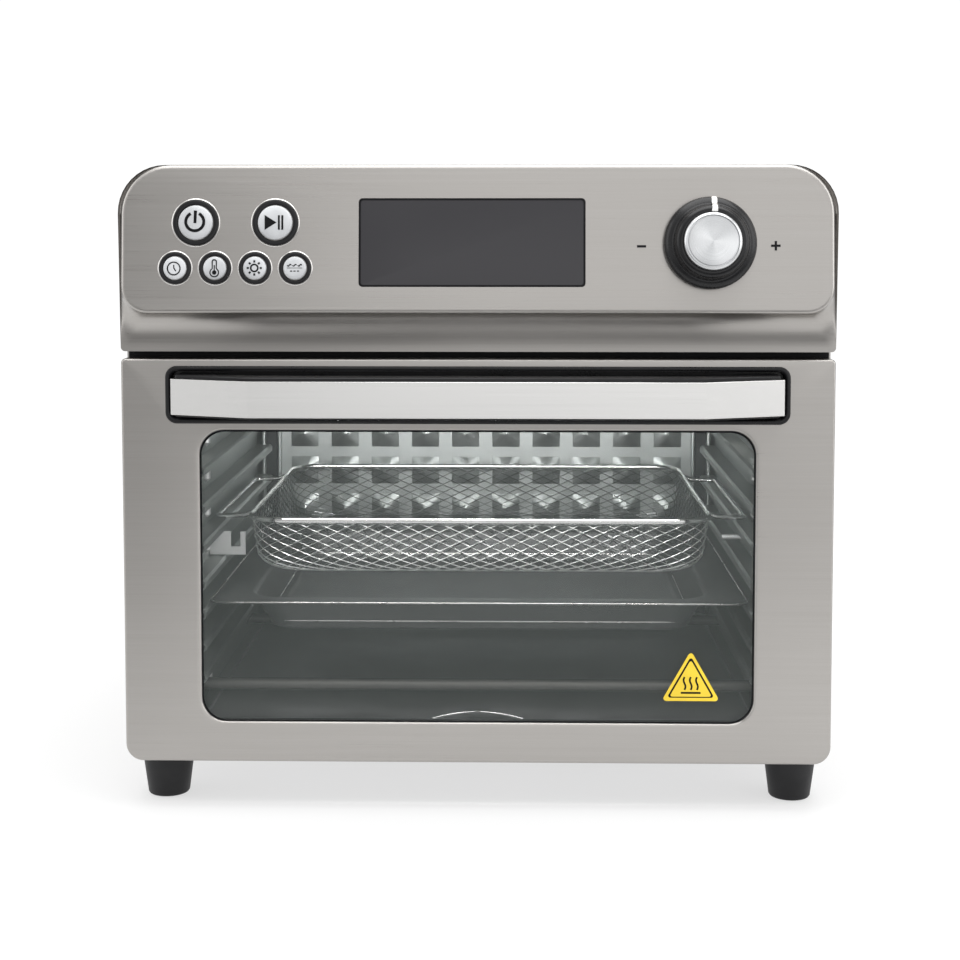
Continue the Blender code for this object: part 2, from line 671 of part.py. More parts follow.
# ---- basket, pan and tray ----

def make_basket():
    floor = (-126.0, 126.0, 86.0, 262.0)
    rings = [(inset(floor, 1.2), 18.0, BASKET_FLOOR + 1.2), (inset(BASKET, 1.2), 21.0, BASKET_RIM - 2.4),
             (BASKET, 22.0, BASKET_RIM - 2.4), (floor, 19.0, BASKET_FLOOR)]
    loft("basket_shell", [facing_up(rounded(box, r, r, 4), z) for box, r, z in rings], STEEL)
    rim = wire("basket_rim", facing_up(rounded(BASKET, 22.0, 22.0, 4), BASKET_RIM), 2.0,
               SATIN_SILVER, True)
    wings = []
    for label, side in (("left", -1), ("right", 1)):
        path = [(139.5, 92.0, BASKET_RIM), (149.0, 92.0, 155.0), (159.5, 96.0, 152.8),
                (163.0, 101.0, 152.6), (163.0, 222.0, 152.6), (159.5, 227.0, 152.8),
                (149.0, 231.0, 155.0), (139.5, 231.0, BASKET_RIM)]
        wings.append(wire("basket_wing_" + label, [(side * x, d, z) for x, d, z in path], 2.0,
                          SATIN_SILVER, False))
    fuse(rim, wings)


def make_pan():
    well = (-135.0, 135.0, 52.0, 271.0)
    floor = (-124.0, 124.0, 62.0, 261.0)
    rings = [(inset(floor, SHEET), 14.0, PAN_FLOOR + SHEET), (inset(well, SHEET), 17.2, PAN_RIM + SHEET),
             (PAN, 10.0, PAN_RIM + SHEET), (PAN, 10.0, PAN_RIM), (well, 18.0, PAN_RIM),
             (floor, 14.8, PAN_FLOOR)]
    loft("baking_pan", [facing_up(rounded(box, r, r, 4), z) for box, r, z in rings], ENAMEL)


def make_crumb_tray():
    low = CAVITY_FLOOR + 0.4
    tray = dish("crumb_tray", facing_up, TRAY, (4.0, 4.0), low, low + SHEET, low + 3.4, STEEL, steps=2)
    front = TRAY[2]
    lift = [(-27.0, low + 0.3), (27.0, low + 0.3)] + arc(0.0, low - 49.2, 57.0, 61.7, 118.3, 8)
    tab = plate("tray_tab", facing_front, lift, front + 0.1, front + 0.7, STEEL)
    fuse(tray, [tab])


def clear_scene():
    for leftover in list(bpy.data.objects):
        bpy.data.objects.remove(leftover)


def build():
    clear_scene()
    door_axis = axis_marker("door_axis", (0.0, DOOR_DEPTH + HINGE_DEPTH, HINGE_HEIGHT))
    fan_axis = axis_marker("fan_axis", (0.0, DOOR_DEPTH + FAN_DEPTH, CAVITY_CEILING))
    panel = axis_marker("panel_frame", (0.0, DOOR_DEPTH + PANEL_DEPTH, PANEL_HEIGHT),
                        (90.0 - PANEL_TILT, 0.0, 0.0))
    make_outer_wrap()
    make_front_frame()
    make_rear_cover()
    make_base_plate()
    make_cord_gland()
    make_feet()
    make_side_walls()
    make_spit_bracket()
    make_cavity_plates()
    make_back_wall()
    make_heaters()
    make_lamp_and_probe()
    make_fan(fan_axis)
    make_door(door_axis)
    make_handle(door_axis)
    make_hinges(door_axis)
    make_fascia()
    make_buttons(panel)
    make_display(panel)
    make_knob(panel)
    make_electronics()
    make_basket()
    make_pan()
    make_crumb_tray()


build()
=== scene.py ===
import math

import bpy
import numpy as np
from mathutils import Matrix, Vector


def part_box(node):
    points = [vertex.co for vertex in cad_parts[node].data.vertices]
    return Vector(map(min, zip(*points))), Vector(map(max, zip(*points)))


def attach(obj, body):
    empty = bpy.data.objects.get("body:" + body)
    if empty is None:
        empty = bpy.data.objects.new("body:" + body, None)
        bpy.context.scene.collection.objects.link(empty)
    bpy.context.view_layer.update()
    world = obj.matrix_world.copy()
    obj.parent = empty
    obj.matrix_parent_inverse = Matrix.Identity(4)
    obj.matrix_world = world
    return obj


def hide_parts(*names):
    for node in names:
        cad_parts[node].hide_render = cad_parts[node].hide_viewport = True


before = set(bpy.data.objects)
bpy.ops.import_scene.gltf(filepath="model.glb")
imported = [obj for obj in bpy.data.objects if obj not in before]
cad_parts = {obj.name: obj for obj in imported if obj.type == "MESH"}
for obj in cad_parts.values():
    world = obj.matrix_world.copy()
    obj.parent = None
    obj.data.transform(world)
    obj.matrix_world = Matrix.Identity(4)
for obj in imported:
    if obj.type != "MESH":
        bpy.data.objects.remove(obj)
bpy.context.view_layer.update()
mm = 0.001
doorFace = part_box("door_panel")[0].y  # every depth below is counted from here, in millimetres
panelTilt = math.radians(5.0)
panelAt = (doorFace / mm - 9.81, 325.0)  # depth in Y and height of the control panel's own zero


class Signal:
    # a node's output that can be used in sums: each operator adds one Math node
    def __init__(self, mix, socket):
        self.mix, self.socket = mix, socket

    def maths(self, operation, first, second):
        return self.mix.node("ShaderNodeMath", {"operation": operation}, {0: first, 1: second})

    def __add__(self, other): return self.maths("ADD", self, other)
    def __radd__(self, other): return self.maths("ADD", other, self)
    def __sub__(self, other): return self.maths("SUBTRACT", self, other)
    def __rsub__(self, other): return self.maths("SUBTRACT", other, self)
    def __mul__(self, other): return self.maths("MULTIPLY", self, other)
    def __rmul__(self, other): return self.maths("MULTIPLY", other, self)
    def __truediv__(self, other): return self.maths("DIVIDE", self, other)
    def __pow__(self, other): return self.maths("POWER", self, other)
    def __gt__(self, other): return self.maths("GREATER_THAN", self, other)
    def __lt__(self, other): return self.maths("LESS_THAN", self, other)


class Finish:
    # one material; node() adds any node, its settings first and then its socket values
    def __init__(self, name):
        self.material = bpy.data.materials.new(name)
        self.material.use_nodes = True
        self.tree = self.material.node_tree
        self.shader = self.tree.nodes["Principled BSDF"]

    def node(self, kind, settings=None, values=None, out=0):
        made = self.tree.nodes.new(kind)
        for key, value in (settings or {}).items():
            if key == "stops":
                ramp = made.color_ramp
                while len(ramp.elements) < len(value):
                    ramp.elements.new(0.5)
                for element, (place, colour) in zip(ramp.elements, value):
                    element.position, element.color = place, (*colour, 1.0)
            else:
                setattr(made, key, value)
        for key, value in (values or {}).items():
            self.put(made.inputs[key], value)
        return Signal(self, made.outputs[out])

    def put(self, socket, value):
        if isinstance(value, Signal):
            self.tree.links.new(value.socket, socket)
        elif socket.type == "RGBA":
            socket.default_value = (*value[:3], 1.0)
        else:
            socket.default_value = value

    def set(self, **values):
        for key, value in values.items():
            self.put(self.shader.inputs[key.replace("_", " ")], value)

    def place(self, scale=(1, 1, 1), centre=(0, 0, 0), turn=(0, 0, 0)):
        here = self.node("ShaderNodeTexCoord", {}, {}, 3)
        moved = self.node("ShaderNodeMapping", {"vector_type": "TEXTURE"},
                          {"Vector": here, "Location": centre, "Rotation": turn})
        return self.node("ShaderNodeMapping", {}, {"Vector": moved, "Scale": scale})

    def noise(self, where, scale, detail=2.0, rough=0.5):
        return self.node("ShaderNodeTexNoise", {},
                         {"Vector": where, "Scale": scale, "Detail": detail, "Roughness": rough})

    def blend(self, amount, first, second):
        return self.node("ShaderNodeMix", {"data_type": "RGBA"}, {0: amount, 6: first, 7: second}, 2)

    def range(self, signal, low, high, to0, to1):
        return self.node("ShaderNodeMapRange", {}, {0: signal, 1: low, 2: high, 3: to0, 4: to1})

    def bump(self, height, strength, distance):
        self.set(Normal=self.node("ShaderNodeBump", {}, {"Height": height, "Strength": strength,
                                                        "Distance": distance}))


def brushed(name, look):
    # streaks that run along one axis: noise squeezed along it and stretched across it, in a
    # fine and a broad size, moves colour and roughness a little and makes shallow grooves
    f = Finish(name)
    fine = f.noise(f.place(look["fine"]), 1.0, 3.0, 0.65)
    broad = f.noise(f.place(look["broad"]), 1.0, 2.0)
    cloud = f.noise(f.place((9, 9, 9)), 1.0, 2.0)
    streak = fine * 0.7 + broad * 0.3
    f.set(Base_Color=f.blend(f.range(streak, 0.3, 0.7, 0.0, 1.0), look["dark"], look["light"]),
          Metallic=1.0,
          Roughness=f.range(streak * 0.7 + cloud * 0.3, 0.3, 0.7, *look["rough"]))
    f.shader.inputs["Anisotropic"].default_value = look["stretch"]
    f.shader.inputs["Anisotropic Rotation"].default_value = 0.25  # gloss spreads across the grain
    f.bump(streak, look["groove"], 0.0002)
    return f.material


def plainMetal(name, colour, rough, grain=0.05):
    f = Finish(name)
    cloud = f.noise(f.place((30, 30, 30)), 1.0, 4.0, 0.6)
    dust = f.noise(f.place((700, 700, 700)), 1.0, 2.0)
    pale = tuple(min(1.0, c * 1.18) for c in colour)
    f.set(Base_Color=f.blend(f.range(cloud, 0.35, 0.65, 0.0, 1.0), colour, pale), Metallic=1.0,
          Roughness=f.range(cloud, 0.3, 0.7, rough - 0.06, rough + 0.08))
    f.bump(dust, grain, 0.0002)
    return f.material


def moulded(name, colour, rough, grain, gloss=0.5):
    # fine spark-eroded texture of a plastic moulding, with faint dust in its colour
    f = Finish(name)
    spark = f.noise(f.place((900, 900, 900)), 1.0, 2.0)
    cloud = f.noise(f.place((40, 40, 40)), 1.0, 3.0)
    pale = tuple(c * 1.35 + 0.004 for c in colour)
    f.set(Base_Color=f.blend(f.range(cloud, 0.4, 0.7, 0.0, 1.0), colour, pale),
          Roughness=f.range(spark * 0.5 + cloud * 0.5, 0.3, 0.7, rough - 0.05, rough + 0.06))
    f.shader.inputs["Specular IOR Level"].default_value = gloss
    f.bump(spark, grain, 0.0002)
    return f.material


def spunMetal(name, centre, look):
    # lathe marks: the distance from the axis drives rings of noise, and the angle round it drives soft wedges
    # of painted highlight and shade in the colour, standing in for how a turned face catches the light
    f = Finish(name)
    flat = f.place((1, 1, 1), centre, (math.pi / 2 - panelTilt, 0, 0))
    parts = f.node("ShaderNodeSeparateXYZ", {}, {0: flat})
    x, y = parts, Signal(f, parts.socket.node.outputs[1])
    reach = f.node("ShaderNodeMath", {"operation": "SQRT"}, {0: x * x + y * y})
    angle = f.node("ShaderNodeMath", {"operation": "ARCTAN2"}, {0: y, 1: x})
    ringPlace = f.node("ShaderNodeCombineXYZ", {}, {0: reach * 5000.0, 1: angle * 0.3})
    rings = f.noise(ringPlace, 1.0, 2.0)
    paintedWedge = f.node("ShaderNodeMath", {"operation": "COSINE"}, {0: angle * 2.0 + 0.9})
    paintedWedges = paintedWedge * 0.5 + f.node("ShaderNodeMath", {"operation": "COSINE"}, {0: angle * 5.0}) * 0.16
    # painted highlight and shade: the wedges, with a little of the lathe rings, set how light the colour is
    light = f.range(paintedWedges + rings * 0.25, -0.5, 0.75, 0.0, 1.0)
    f.set(Base_Color=f.blend(light, look["dark"], look["light"]), Metallic=1.0,
          Roughness=f.range(rings, 0.3, 0.7, *look["rough"]))
    f.bump(rings, 0.12, 0.0001)
    return f.material


def makeMaterials():
    across = {"fine": (12, 2600, 2600), "broad": (3, 420, 420)}
    steel = {**across, "dark": (0.385, 0.368, 0.350), "light": (0.425, 0.410, 0.393),
             "rough": (0.25, 0.36), "groove": 0.04, "stretch": 0.75}
    plate = {**across, "dark": (0.68, 0.675, 0.665), "light": (0.74, 0.735, 0.725),
             "rough": (0.17, 0.26), "groove": 0.05, "stretch": 0.5}
    side = {"fine": (2600, 12, 2600), "broad": (420, 3, 420), "dark": (0.39, 0.375, 0.36),
            "light": (0.44, 0.425, 0.41), "rough": (0.28, 0.40), "groove": 0.04, "stretch": 0.0}
    made = {
        "steel": brushed("brushed_steel", steel),
        "wrap": brushed("brushed_wrap", side),
        "plate": brushed("satin_handle_plate", plate),
        "sheet": plainMetal("aluminised_sheet", (0.40, 0.42, 0.41), 0.42),
        "zinc": plainMetal("zinc_sheet", (0.42, 0.42, 0.43), 0.42),
        "dark": plainMetal("dark_sheet", (0.10, 0.10, 0.105), 0.45),
        "chrome": plainMetal("chromed_wire", (0.72, 0.72, 0.71), 0.16, 0.0),
        "mesh": strandMetal(),
        "bright": plainMetal("polished_edge", (0.82, 0.82, 0.81), 0.14, 0.0),
        "heater": plainMetal("heater_sheath", (0.17, 0.165, 0.155), 0.52, 0.2),
        "halo": plainMetal("polished_steel_painted_highlight", (0.58, 0.565, 0.55), 0.26, 0.0),
        "pale": plainMetal("galvanised_steel_and_painted_glint", (0.86, 0.86, 0.85), 0.55),
        "screw": plainMetal("screw_zinc", (0.62, 0.62, 0.60), 0.28),
        "black": moulded("black_moulding", (0.006, 0.006, 0.007), 0.30, 0.04, 0.30),
        "knob": moulded("knob_moulding", (0.005, 0.005, 0.006), 0.26, 0.03, 0.35),
        "ink": moulded("black_ink", (0.004, 0.004, 0.005), 0.5, 0.0, 0.15),
        "rubber": moulded("foot_rubber", (0.008, 0.008, 0.009), 0.5, 0.12, 0.3),
        "board": moulded("circuit_board", (0.02, 0.16, 0.06), 0.4, 0.1),
        "cap": moulded("button_silver", (0.52, 0.53, 0.545), 0.30, 0.03),
        "label": moulded("label_yellow", (0.78, 0.56, 0.030), 0.42, 0.0),
        "enamel": panEnamel(),
        "lens": displayGlass(),
        "glass": doorGlass(),
        "lamp": lampGlass(),
    }
    return made


def strandMetal():
    # expanded mesh: pale strands on the front wall; over the floor and the back the strands are darker as
    # painted shade, blended over a short stretch of depth, with a slow cloud in colour and gloss
    look = {"front": 0.080, "behind": 0.100, "pale": (0.78, 0.79, 0.78), "painted_shade": (0.24, 0.25, 0.25)}
    f = Finish("expanded_mesh")
    cloud = f.noise(f.place((60, 60, 60)), 1.0, 2.0)
    y = f.node("ShaderNodeSeparateXYZ", {}, {0: f.node("ShaderNodeTexCoord", {}, {}, 3)}, 1)
    # the strands behind the front wall take the darker colour: painted shade
    depth = f.range(y, doorFace + look["front"], doorFace + look["behind"], 0.0, 1.0)
    f.set(Base_Color=f.blend(depth * (0.9 + cloud * 0.1), look["pale"], look["painted_shade"]), Metallic=1.0,
          Roughness=f.range(cloud, 0.3, 0.7, 0.38, 0.46))
    return f.material


def panEnamel():
    # dark non-stick coat: small pale flecks and a slow change of gloss
    f = Finish("pan_enamel")
    fleck = f.noise(f.place((1400, 1400, 1400)), 1.0, 1.0)
    cloud = f.noise(f.place((25, 25, 25)), 1.0, 3.0)
    share = f.range(fleck, 0.66, 0.74, 0.0, 0.5)
    f.set(Base_Color=f.blend(share, (0.060, 0.063, 0.062), (0.085, 0.087, 0.086)),
          Roughness=f.range(cloud, 0.3, 0.7, 0.40, 0.46))
    f.bump(fleck, 0.01, 0.0001)
    return f.material


def displayGlass():
    # smoked window: near black, a little lighter in slow random clouds
    f = Finish("display_window")
    cloud = f.noise(f.place((18, 18, 18)), 1.0, 2.0)
    f.set(Base_Color=f.blend(cloud, (0.034, 0.033, 0.037), (0.040, 0.039, 0.043)),
          Roughness=f.range(cloud, 0.3, 0.7, 0.10, 0.16))
    f.shader.inputs["Specular IOR Level"].default_value = 0.25
    return f.material


def doorGlass():
    # grey-green tint with a slight haze: the haze of its colour is a painted reflection, standing in for the
    # studio seen in the glass; faint wipe marks in its gloss
    f = Finish("tinted_glass")
    wipe = f.noise(f.place((6, 6, 30), (0, 0, 0), (0, 0.5, 0)), 1.0, 4.0, 0.6)
    f.set(Base_Color=f.blend(wipe, (0.22, 0.25, 0.24), (0.27, 0.30, 0.29)),
          Roughness=f.range(wipe, 0.3, 0.7, 0.02, 0.05), Alpha=0.10)
    return f.material


def lampGlass():
    f = Finish("frosted_lens")
    cloud = f.noise(f.place((300, 300, 300)), 1.0, 2.0)
    f.set(Base_Color=f.blend(cloud, (0.80, 0.79, 0.74), (0.88, 0.87, 0.83)), Roughness=0.45, Alpha=0.75)
    return f.material


def toBody(points):
    # from (across, depth behind the door's face, height) in millimetres to the frame
    flat = np.asarray(points, float) * mm
    flat[..., 1] += doorFace
    return flat


def fromPanel(points):
    # from (across, up the panel, out of the panel) in millimetres to the frame
    u, v, w = np.moveaxis(np.asarray(points, float), -1, 0)
    c, s = math.cos(panelTilt), math.sin(panelTilt)
    out = np.stack([u, panelAt[0] + v * s - w * c, panelAt[1] + v * c + w * s], axis=-1)
    return out * mm


def gridFaces(rows, count, wrapRows=False, wrapColumns=True):
    # quads between neighbouring rows of a grid of points, numbered row by row
    r = np.arange(rows if wrapRows else rows - 1)[:, None]
    c = np.arange(count if wrapColumns else count - 1)[None, :]
    nextRow, nextColumn = (r + 1) % rows, (c + 1) % count
    quads = np.stack([r * count + c, r * count + nextColumn,
                      nextRow * count + nextColumn, nextRow * count + c], axis=-1)
    return quads.reshape(-1, 4)


def addPiece(name, points, faces, material, body, slot, smooth=38.0, bevel=0.0, replaces=()):
    # a mesh at the origin, its faces turned outwards, with an optional fine bevel
    mesh = bpy.data.meshes.new(name)
    mesh.from_pydata(np.asarray(points).reshape(-1, 3).tolist(), [], [list(map(int, f)) for f in faces])
    mesh.update()
    piece = bpy.data.objects.new(name, mesh)
    bpy.context.scene.collection.objects.link(piece)
    bpy.context.view_layer.objects.active = piece
    piece.select_set(True)
    bpy.ops.object.mode_set(mode="EDIT")
    bpy.ops.mesh.select_all(action="SELECT")
    bpy.ops.mesh.normals_make_consistent(inside=False)
    bpy.ops.object.mode_set(mode="OBJECT")
    piece.select_set(False)
    mesh.shade_smooth()
    mesh.set_sharp_from_angle(angle=math.radians(smooth))
    mesh.materials.append(material)
    if bevel:
        step = piece.modifiers.new("edge", "BEVEL")
        step.width, step.segments, step.limit_method = bevel * mm, 3, "ANGLE"
        step.angle_limit = math.radians(32)
        step.harden_normals = True
    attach(piece, body)
    if replaces:
        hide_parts(*replaces)
    return piece


def loft(name, rings, material, body, slot, closed=False, caps=True, **options):
    # rings of equal length joined one to the next; either the last joins the first, or
    # both ends are capped
    rings = np.asarray(rings)
    rows, count = rings.shape[:2]
    faces = gridFaces(rows, count, closed).tolist()
    if not closed and caps:
        faces += [list(range(count))[::-1], list(range((rows - 1) * count, rows * count))]
    return addPiece(name, rings, faces, material, body, slot, **options)


def roundBox(x0, x1, y0, y1, lower, upper, steps=10, straight=1):
    # counter-clockwise rectangle with round corners, one radius for the lower pair and one
    # for the upper; every argument may be a column of values, one row for each ring
    x0, x1, y0, y1, lower, upper = np.broadcast_arrays(*[np.reshape(np.asarray(a, float), (-1, 1))
                                                         for a in (x0, x1, y0, y1, lower, upper)])
    turn = np.linspace(0.0, math.pi / 2, steps + 1)[None, :]
    parts = []
    for cx, cy, r, start in ((x1 - lower, y0 + lower, lower, -0.5), (x1 - upper, y1 - upper, upper, 0.0),
                             (x0 + upper, y1 - upper, upper, 0.5), (x0 + lower, y0 + lower, lower, 1.0)):
        angle = turn + start * math.pi
        parts.append(np.stack([cx + r * np.cos(angle), cy + r * np.sin(angle)], axis=-1))
    return np.concatenate(parts, axis=1)


def facingFront(flat, depth, slope=0.0, foot=0.0):
    # an outline in X and Z, set at a depth that may grow with height
    x, z = flat[..., 0], flat[..., 1]
    depth = np.reshape(np.asarray(depth, float), (-1, 1)) + (z - foot) * slope
    return toBody(np.stack([x, np.broadcast_to(depth, x.shape), z], axis=-1))


def facingUp(flat, height):
    x, y = flat[..., 0], flat[..., 1]
    height = np.reshape(np.asarray(height, float), (-1, 1))
    return toBody(np.stack([x, y, np.broadcast_to(height, x.shape)], axis=-1))


def onPanel(flat, rise):
    x, y = flat[..., 0], flat[..., 1]
    rise = np.reshape(np.asarray(rise, float), (-1, 1))
    return fromPanel(np.stack([x, y, np.broadcast_to(rise, x.shape)], axis=-1))


def fillet(inner, outer, steps):
    # quarter turn from one (inset, reach) pair to another, for rows of rounded boxes
    angle = np.linspace(0.0, math.pi / 2, steps + 1)
    across = inner[0] + (outer[0] - inner[0]) * (1 - np.cos(angle))
    return across, inner[1] + (outer[1] - inner[1]) * np.sin(angle)


def turnedRings(profile, count):
    # a profile of (radius, height) carried round an axis, as rings of points
    profile = np.asarray(profile, float)
    angle = np.arange(count) * 2 * math.pi / count
    x = profile[:, :1] * np.cos(angle)
    y = profile[:, :1] * np.sin(angle)
    return x, y, np.broadcast_to(profile[:, 1:], x.shape)


def turned(name, axis, centre, profile, material, body, slot, count=64, closed=False, **options):
    x, y, h = turnedRings(profile, count)
    a, b = centre
    stack = {"X": (h, a + x, b + y), "Y": (a + x, h, b + y), "Z": (a + x, b + y, h), "P": (a + x, b + y, h)}
    points = np.stack(stack[axis], axis=-1)
    points = fromPanel(points) if axis == "P" else toBody(points)
    return loft(name, points, material, body, slot, closed, **options)


def tubeRings(path, radius, closed, sides=10):
    # circles square to a path; the frame is carried by the cross product with straight up
    path = np.asarray(path, float)
    ahead = np.roll(path, -1, 0) - np.roll(path, 1, 0)
    if not closed:
        ahead[0], ahead[-1] = path[1] - path[0], path[-1] - path[-2]
    ahead /= np.linalg.norm(ahead, axis=1, keepdims=True)
    side = np.cross(ahead, (0.0, 0.05, 1.0))
    side /= np.linalg.norm(side, axis=1, keepdims=True)
    over = np.cross(side, ahead)
    angle = np.arange(sides) * 2 * math.pi / sides
    return (path[:, None, :] + radius * (np.cos(angle)[None, :, None] * side[:, None, :]
                                         + np.sin(angle)[None, :, None] * over[:, None, :]))


def rod(name, path, radius, material, body, slot, closed=False, sides=10, **options):
    return loft(name, toBody(tubeRings(path, radius, closed, sides)), material, body, slot, closed, **options)


def joinPieces(name, pieces):
    # several meshes of one material become one piece, which keeps the first one's body
    bpy.ops.object.select_all(action="DESELECT")
    for piece in pieces:
        piece.select_set(True)
    bpy.context.view_layer.objects.active = pieces[0]
    bpy.ops.object.join()
    pieces[0].name = name
    pieces[0].select_set(False)
    return pieces[0]


def cutWith(piece, rings, depthwise=True):
    # removes the space inside a lofted cutter, then forgets the cutter
    rows, count = np.asarray(rings).shape[:2]
    faces = gridFaces(rows, count).tolist()
    faces += [list(range(count))[::-1], list(range((rows - 1) * count, rows * count))]
    mesh = bpy.data.meshes.new("cutter")
    mesh.from_pydata(np.asarray(rings).reshape(-1, 3).tolist(), [], faces)
    mesh.update()
    cutter = bpy.data.objects.new("cutter", mesh)
    bpy.context.scene.collection.objects.link(cutter)
    bpy.context.view_layer.objects.active = cutter
    cutter.select_set(True)
    bpy.ops.object.mode_set(mode="EDIT")
    bpy.ops.mesh.select_all(action="SELECT")
    bpy.ops.mesh.normals_make_consistent(inside=False)
    bpy.ops.object.mode_set(mode="OBJECT")
    cutter.select_set(False)
    step = piece.modifiers.new("opening", "BOOLEAN")
    step.operation, step.solver, step.object = "DIFFERENCE", "EXACT", cutter
    bpy.context.view_layer.objects.active = piece
    bpy.ops.object.modifier_move_to_index(modifier=step.name, index=0)
    bpy.ops.object.modifier_apply(modifier=step.name)
    bpy.data.objects.remove(cutter)


def makeWrap(mats):
    look = {"half": 200.0, "top": 366.0, "foot": 28.0, "shoulder": 27.0, "sheet": 0.9,
            "front": 17.0, "back": 344.6}
    turn = np.linspace(0, math.pi / 2, 19)

    def arch(inset):
        r, c = look["shoulder"] - inset, look["half"] - look["shoulder"]
        z = look["top"] - look["shoulder"]
        right = np.stack([c + r * np.cos(turn), z + r * np.sin(turn)], axis=-1)
        left = np.stack([-c - r * np.sin(turn), z + r * np.cos(turn)], axis=-1)
        x = look["half"] - inset
        return np.concatenate([[[x, look["foot"]]], right, left, [[-x, look["foot"]]]])

    outline = np.concatenate([arch(0.0), arch(look["sheet"])[::-1]])
    depths = np.array([look["front"], look["back"]])
    rings = facingFront(np.broadcast_to(outline, (2, *outline.shape)), depths)
    wrap = loft("outerWrapSkin", rings, mats["wrap"], "oven_body", "brushed_steel", replaces=("outer_wrap",))
    slots = {"rows": 6, "low": 286.0, "pitch": 9.0, "height": 3.2, "from": 220.0, "to": 310.0}
    for side in (-1, 1):
        for row in range(slots["rows"]):
            reach = slots["height"] / 2
            z = slots["low"] + slots["pitch"] * row + reach
            y0, y1 = slots["from"], slots["to"]
            flat = roundBox(y0, y1, z - reach, z + reach, reach - 0.01, reach - 0.01, 4)[0]
            rings = np.stack([toBody(np.stack([np.full(len(flat), x), flat[:, 0], flat[:, 1]], axis=-1))
                              for x in (side * 190.0, side * 210.0)])
            cutWith(wrap, rings)
    return wrap


def makeFascia(mats):
    # rings from a return a sheet's thickness inside the rim, out to the rim by the front frame, then forward
    # along the sides, round the cove under the face and over the lip
    look = {"half": 200.0, "top": 366.0, "foot": 262.0, "lip": 284.0, "shoulder": 27.0,
            "corner": 15.0, "draft": 3.2, "rimBack": 16.7}
    slope = math.tan(panelTilt)
    q = np.linspace(0, 1, 13)
    cove = np.sin(q * math.pi / 2)
    dip = 1 - np.cos(q * math.pi / 2)
    foot = look["foot"] + (look["lip"] - look["foot"]) * cove
    depth = 1.0 - 12.2 * dip
    slopes = -0.035 + (slope + 0.035) * q
    lower = 2.5 + (look["corner"] - 2.5) * q ** 0.8
    half = look["half"] - look["draft"] * q
    sides = facingFront(roundBox(-half, half, foot, look["top"] + 0 * q, lower, look["shoulder"] + 0 * q),
                        depth, slopes[:, None], foot[:, None])
    rim = facingFront(roundBox(-200.0, 200.0, 262.0, 366.0, 2.5, look["shoulder"]), [look["rimBack"]])
    back = facingFront(roundBox(-199.0, 199.0, 263.0, 365.0, 1.5, 26.0), [look["rimBack"]])
    backDeep = facingFront(roundBox(-199.0, 199.0, 263.0, 365.0, 1.5, 26.0), [3.0])
    inset, reach = fillet((0.0, 0.0), (2.6, 2.02), 8)
    lipBox = roundBox(-half[-1] + inset, half[-1] - inset, look["lip"] + inset, look["top"] - inset,
                      look["corner"] - inset, look["shoulder"] - inset)
    lip = facingFront(lipBox, -11.2 - reach, slope, look["lip"])
    rings = np.concatenate([backDeep, back, rim, sides, lip[1:]])
    fascia = loft("fasciaSkin", rings, mats["steel"], "oven_body", "brushed_steel",
                  smooth=40.0, replaces=("control_fascia",))
    u, v, width, height = -2.5, -1.9, 125.0, 49.0
    window = roundBox(u - width / 2, u + width / 2, v - height / 2, v + height / 2, 2.2, 2.2, 6)
    cutWith(fascia, onPanel(np.repeat(window, 2, 0), [-2.2, 3.0]))
    step = fascia.modifiers.new("edge", "BEVEL")
    step.width, step.segments, step.limit_method = 0.35 * mm, 2, "ANGLE"
    step.angle_limit, step.harden_normals = math.radians(50), True
    return fascia


def makeCasing(mats):
    makeWrap(mats)
    makeFascia(mats)
    dress("front_frame", mats["ink"])
    for node in ("hinge_arm_left", "hinge_arm_right", "hinge_barrel_left", "hinge_barrel_right"):
        dress(node, mats["dark"])
    for node in ("rear_cover", "base_plate", "fan_housing", "fan_motor", "hinge_bracket_left",
                 "hinge_bracket_right", "hinge_spring_left", "hinge_spring_right", "encoder"):
        dress(node, mats["zinc"])
    for node in ("control_box", "display_module", "cord_gland"):
        dress(node, mats["black"])
    for node in ("control_board", "power_board"):
        dress(node, mats["board"])
    profile = [(9.5, 0.4), (10.3, 0.0), (11.4, 0.35), (12.0, 1.2), (14.6, 21.0), (14.9, 24.5),
               (15.3, 25.3), (15.3, 27.7), (9.5, 27.7)]
    for corner in ("front_left", "front_right", "rear_left", "rear_right"):
        low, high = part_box("foot_" + corner)
        centre = ((low.x + high.x) / 2 / mm, ((low.y + high.y) / 2 - doorFace) / mm)
        turned("foot" + corner.title().replace("_", ""), "Z", centre, profile, mats["rubber"],
               "oven_body", "foot_rubber", 40, replaces=("foot_" + corner,))
    screws(mats)


def dress(node, material):
    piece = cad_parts[node]
    piece.data.materials.clear()
    piece.data.materials.append(material)


def screwRings(count=20):
    # a pan head seen from its tip: flat rim, domed top, and a sunken round drive
    return turnedRings([(3.0, 0.0), (3.0, 0.5), (2.6, 1.1), (1.9, 1.35), (1.2, 1.4), (0.9, 0.7)], count)


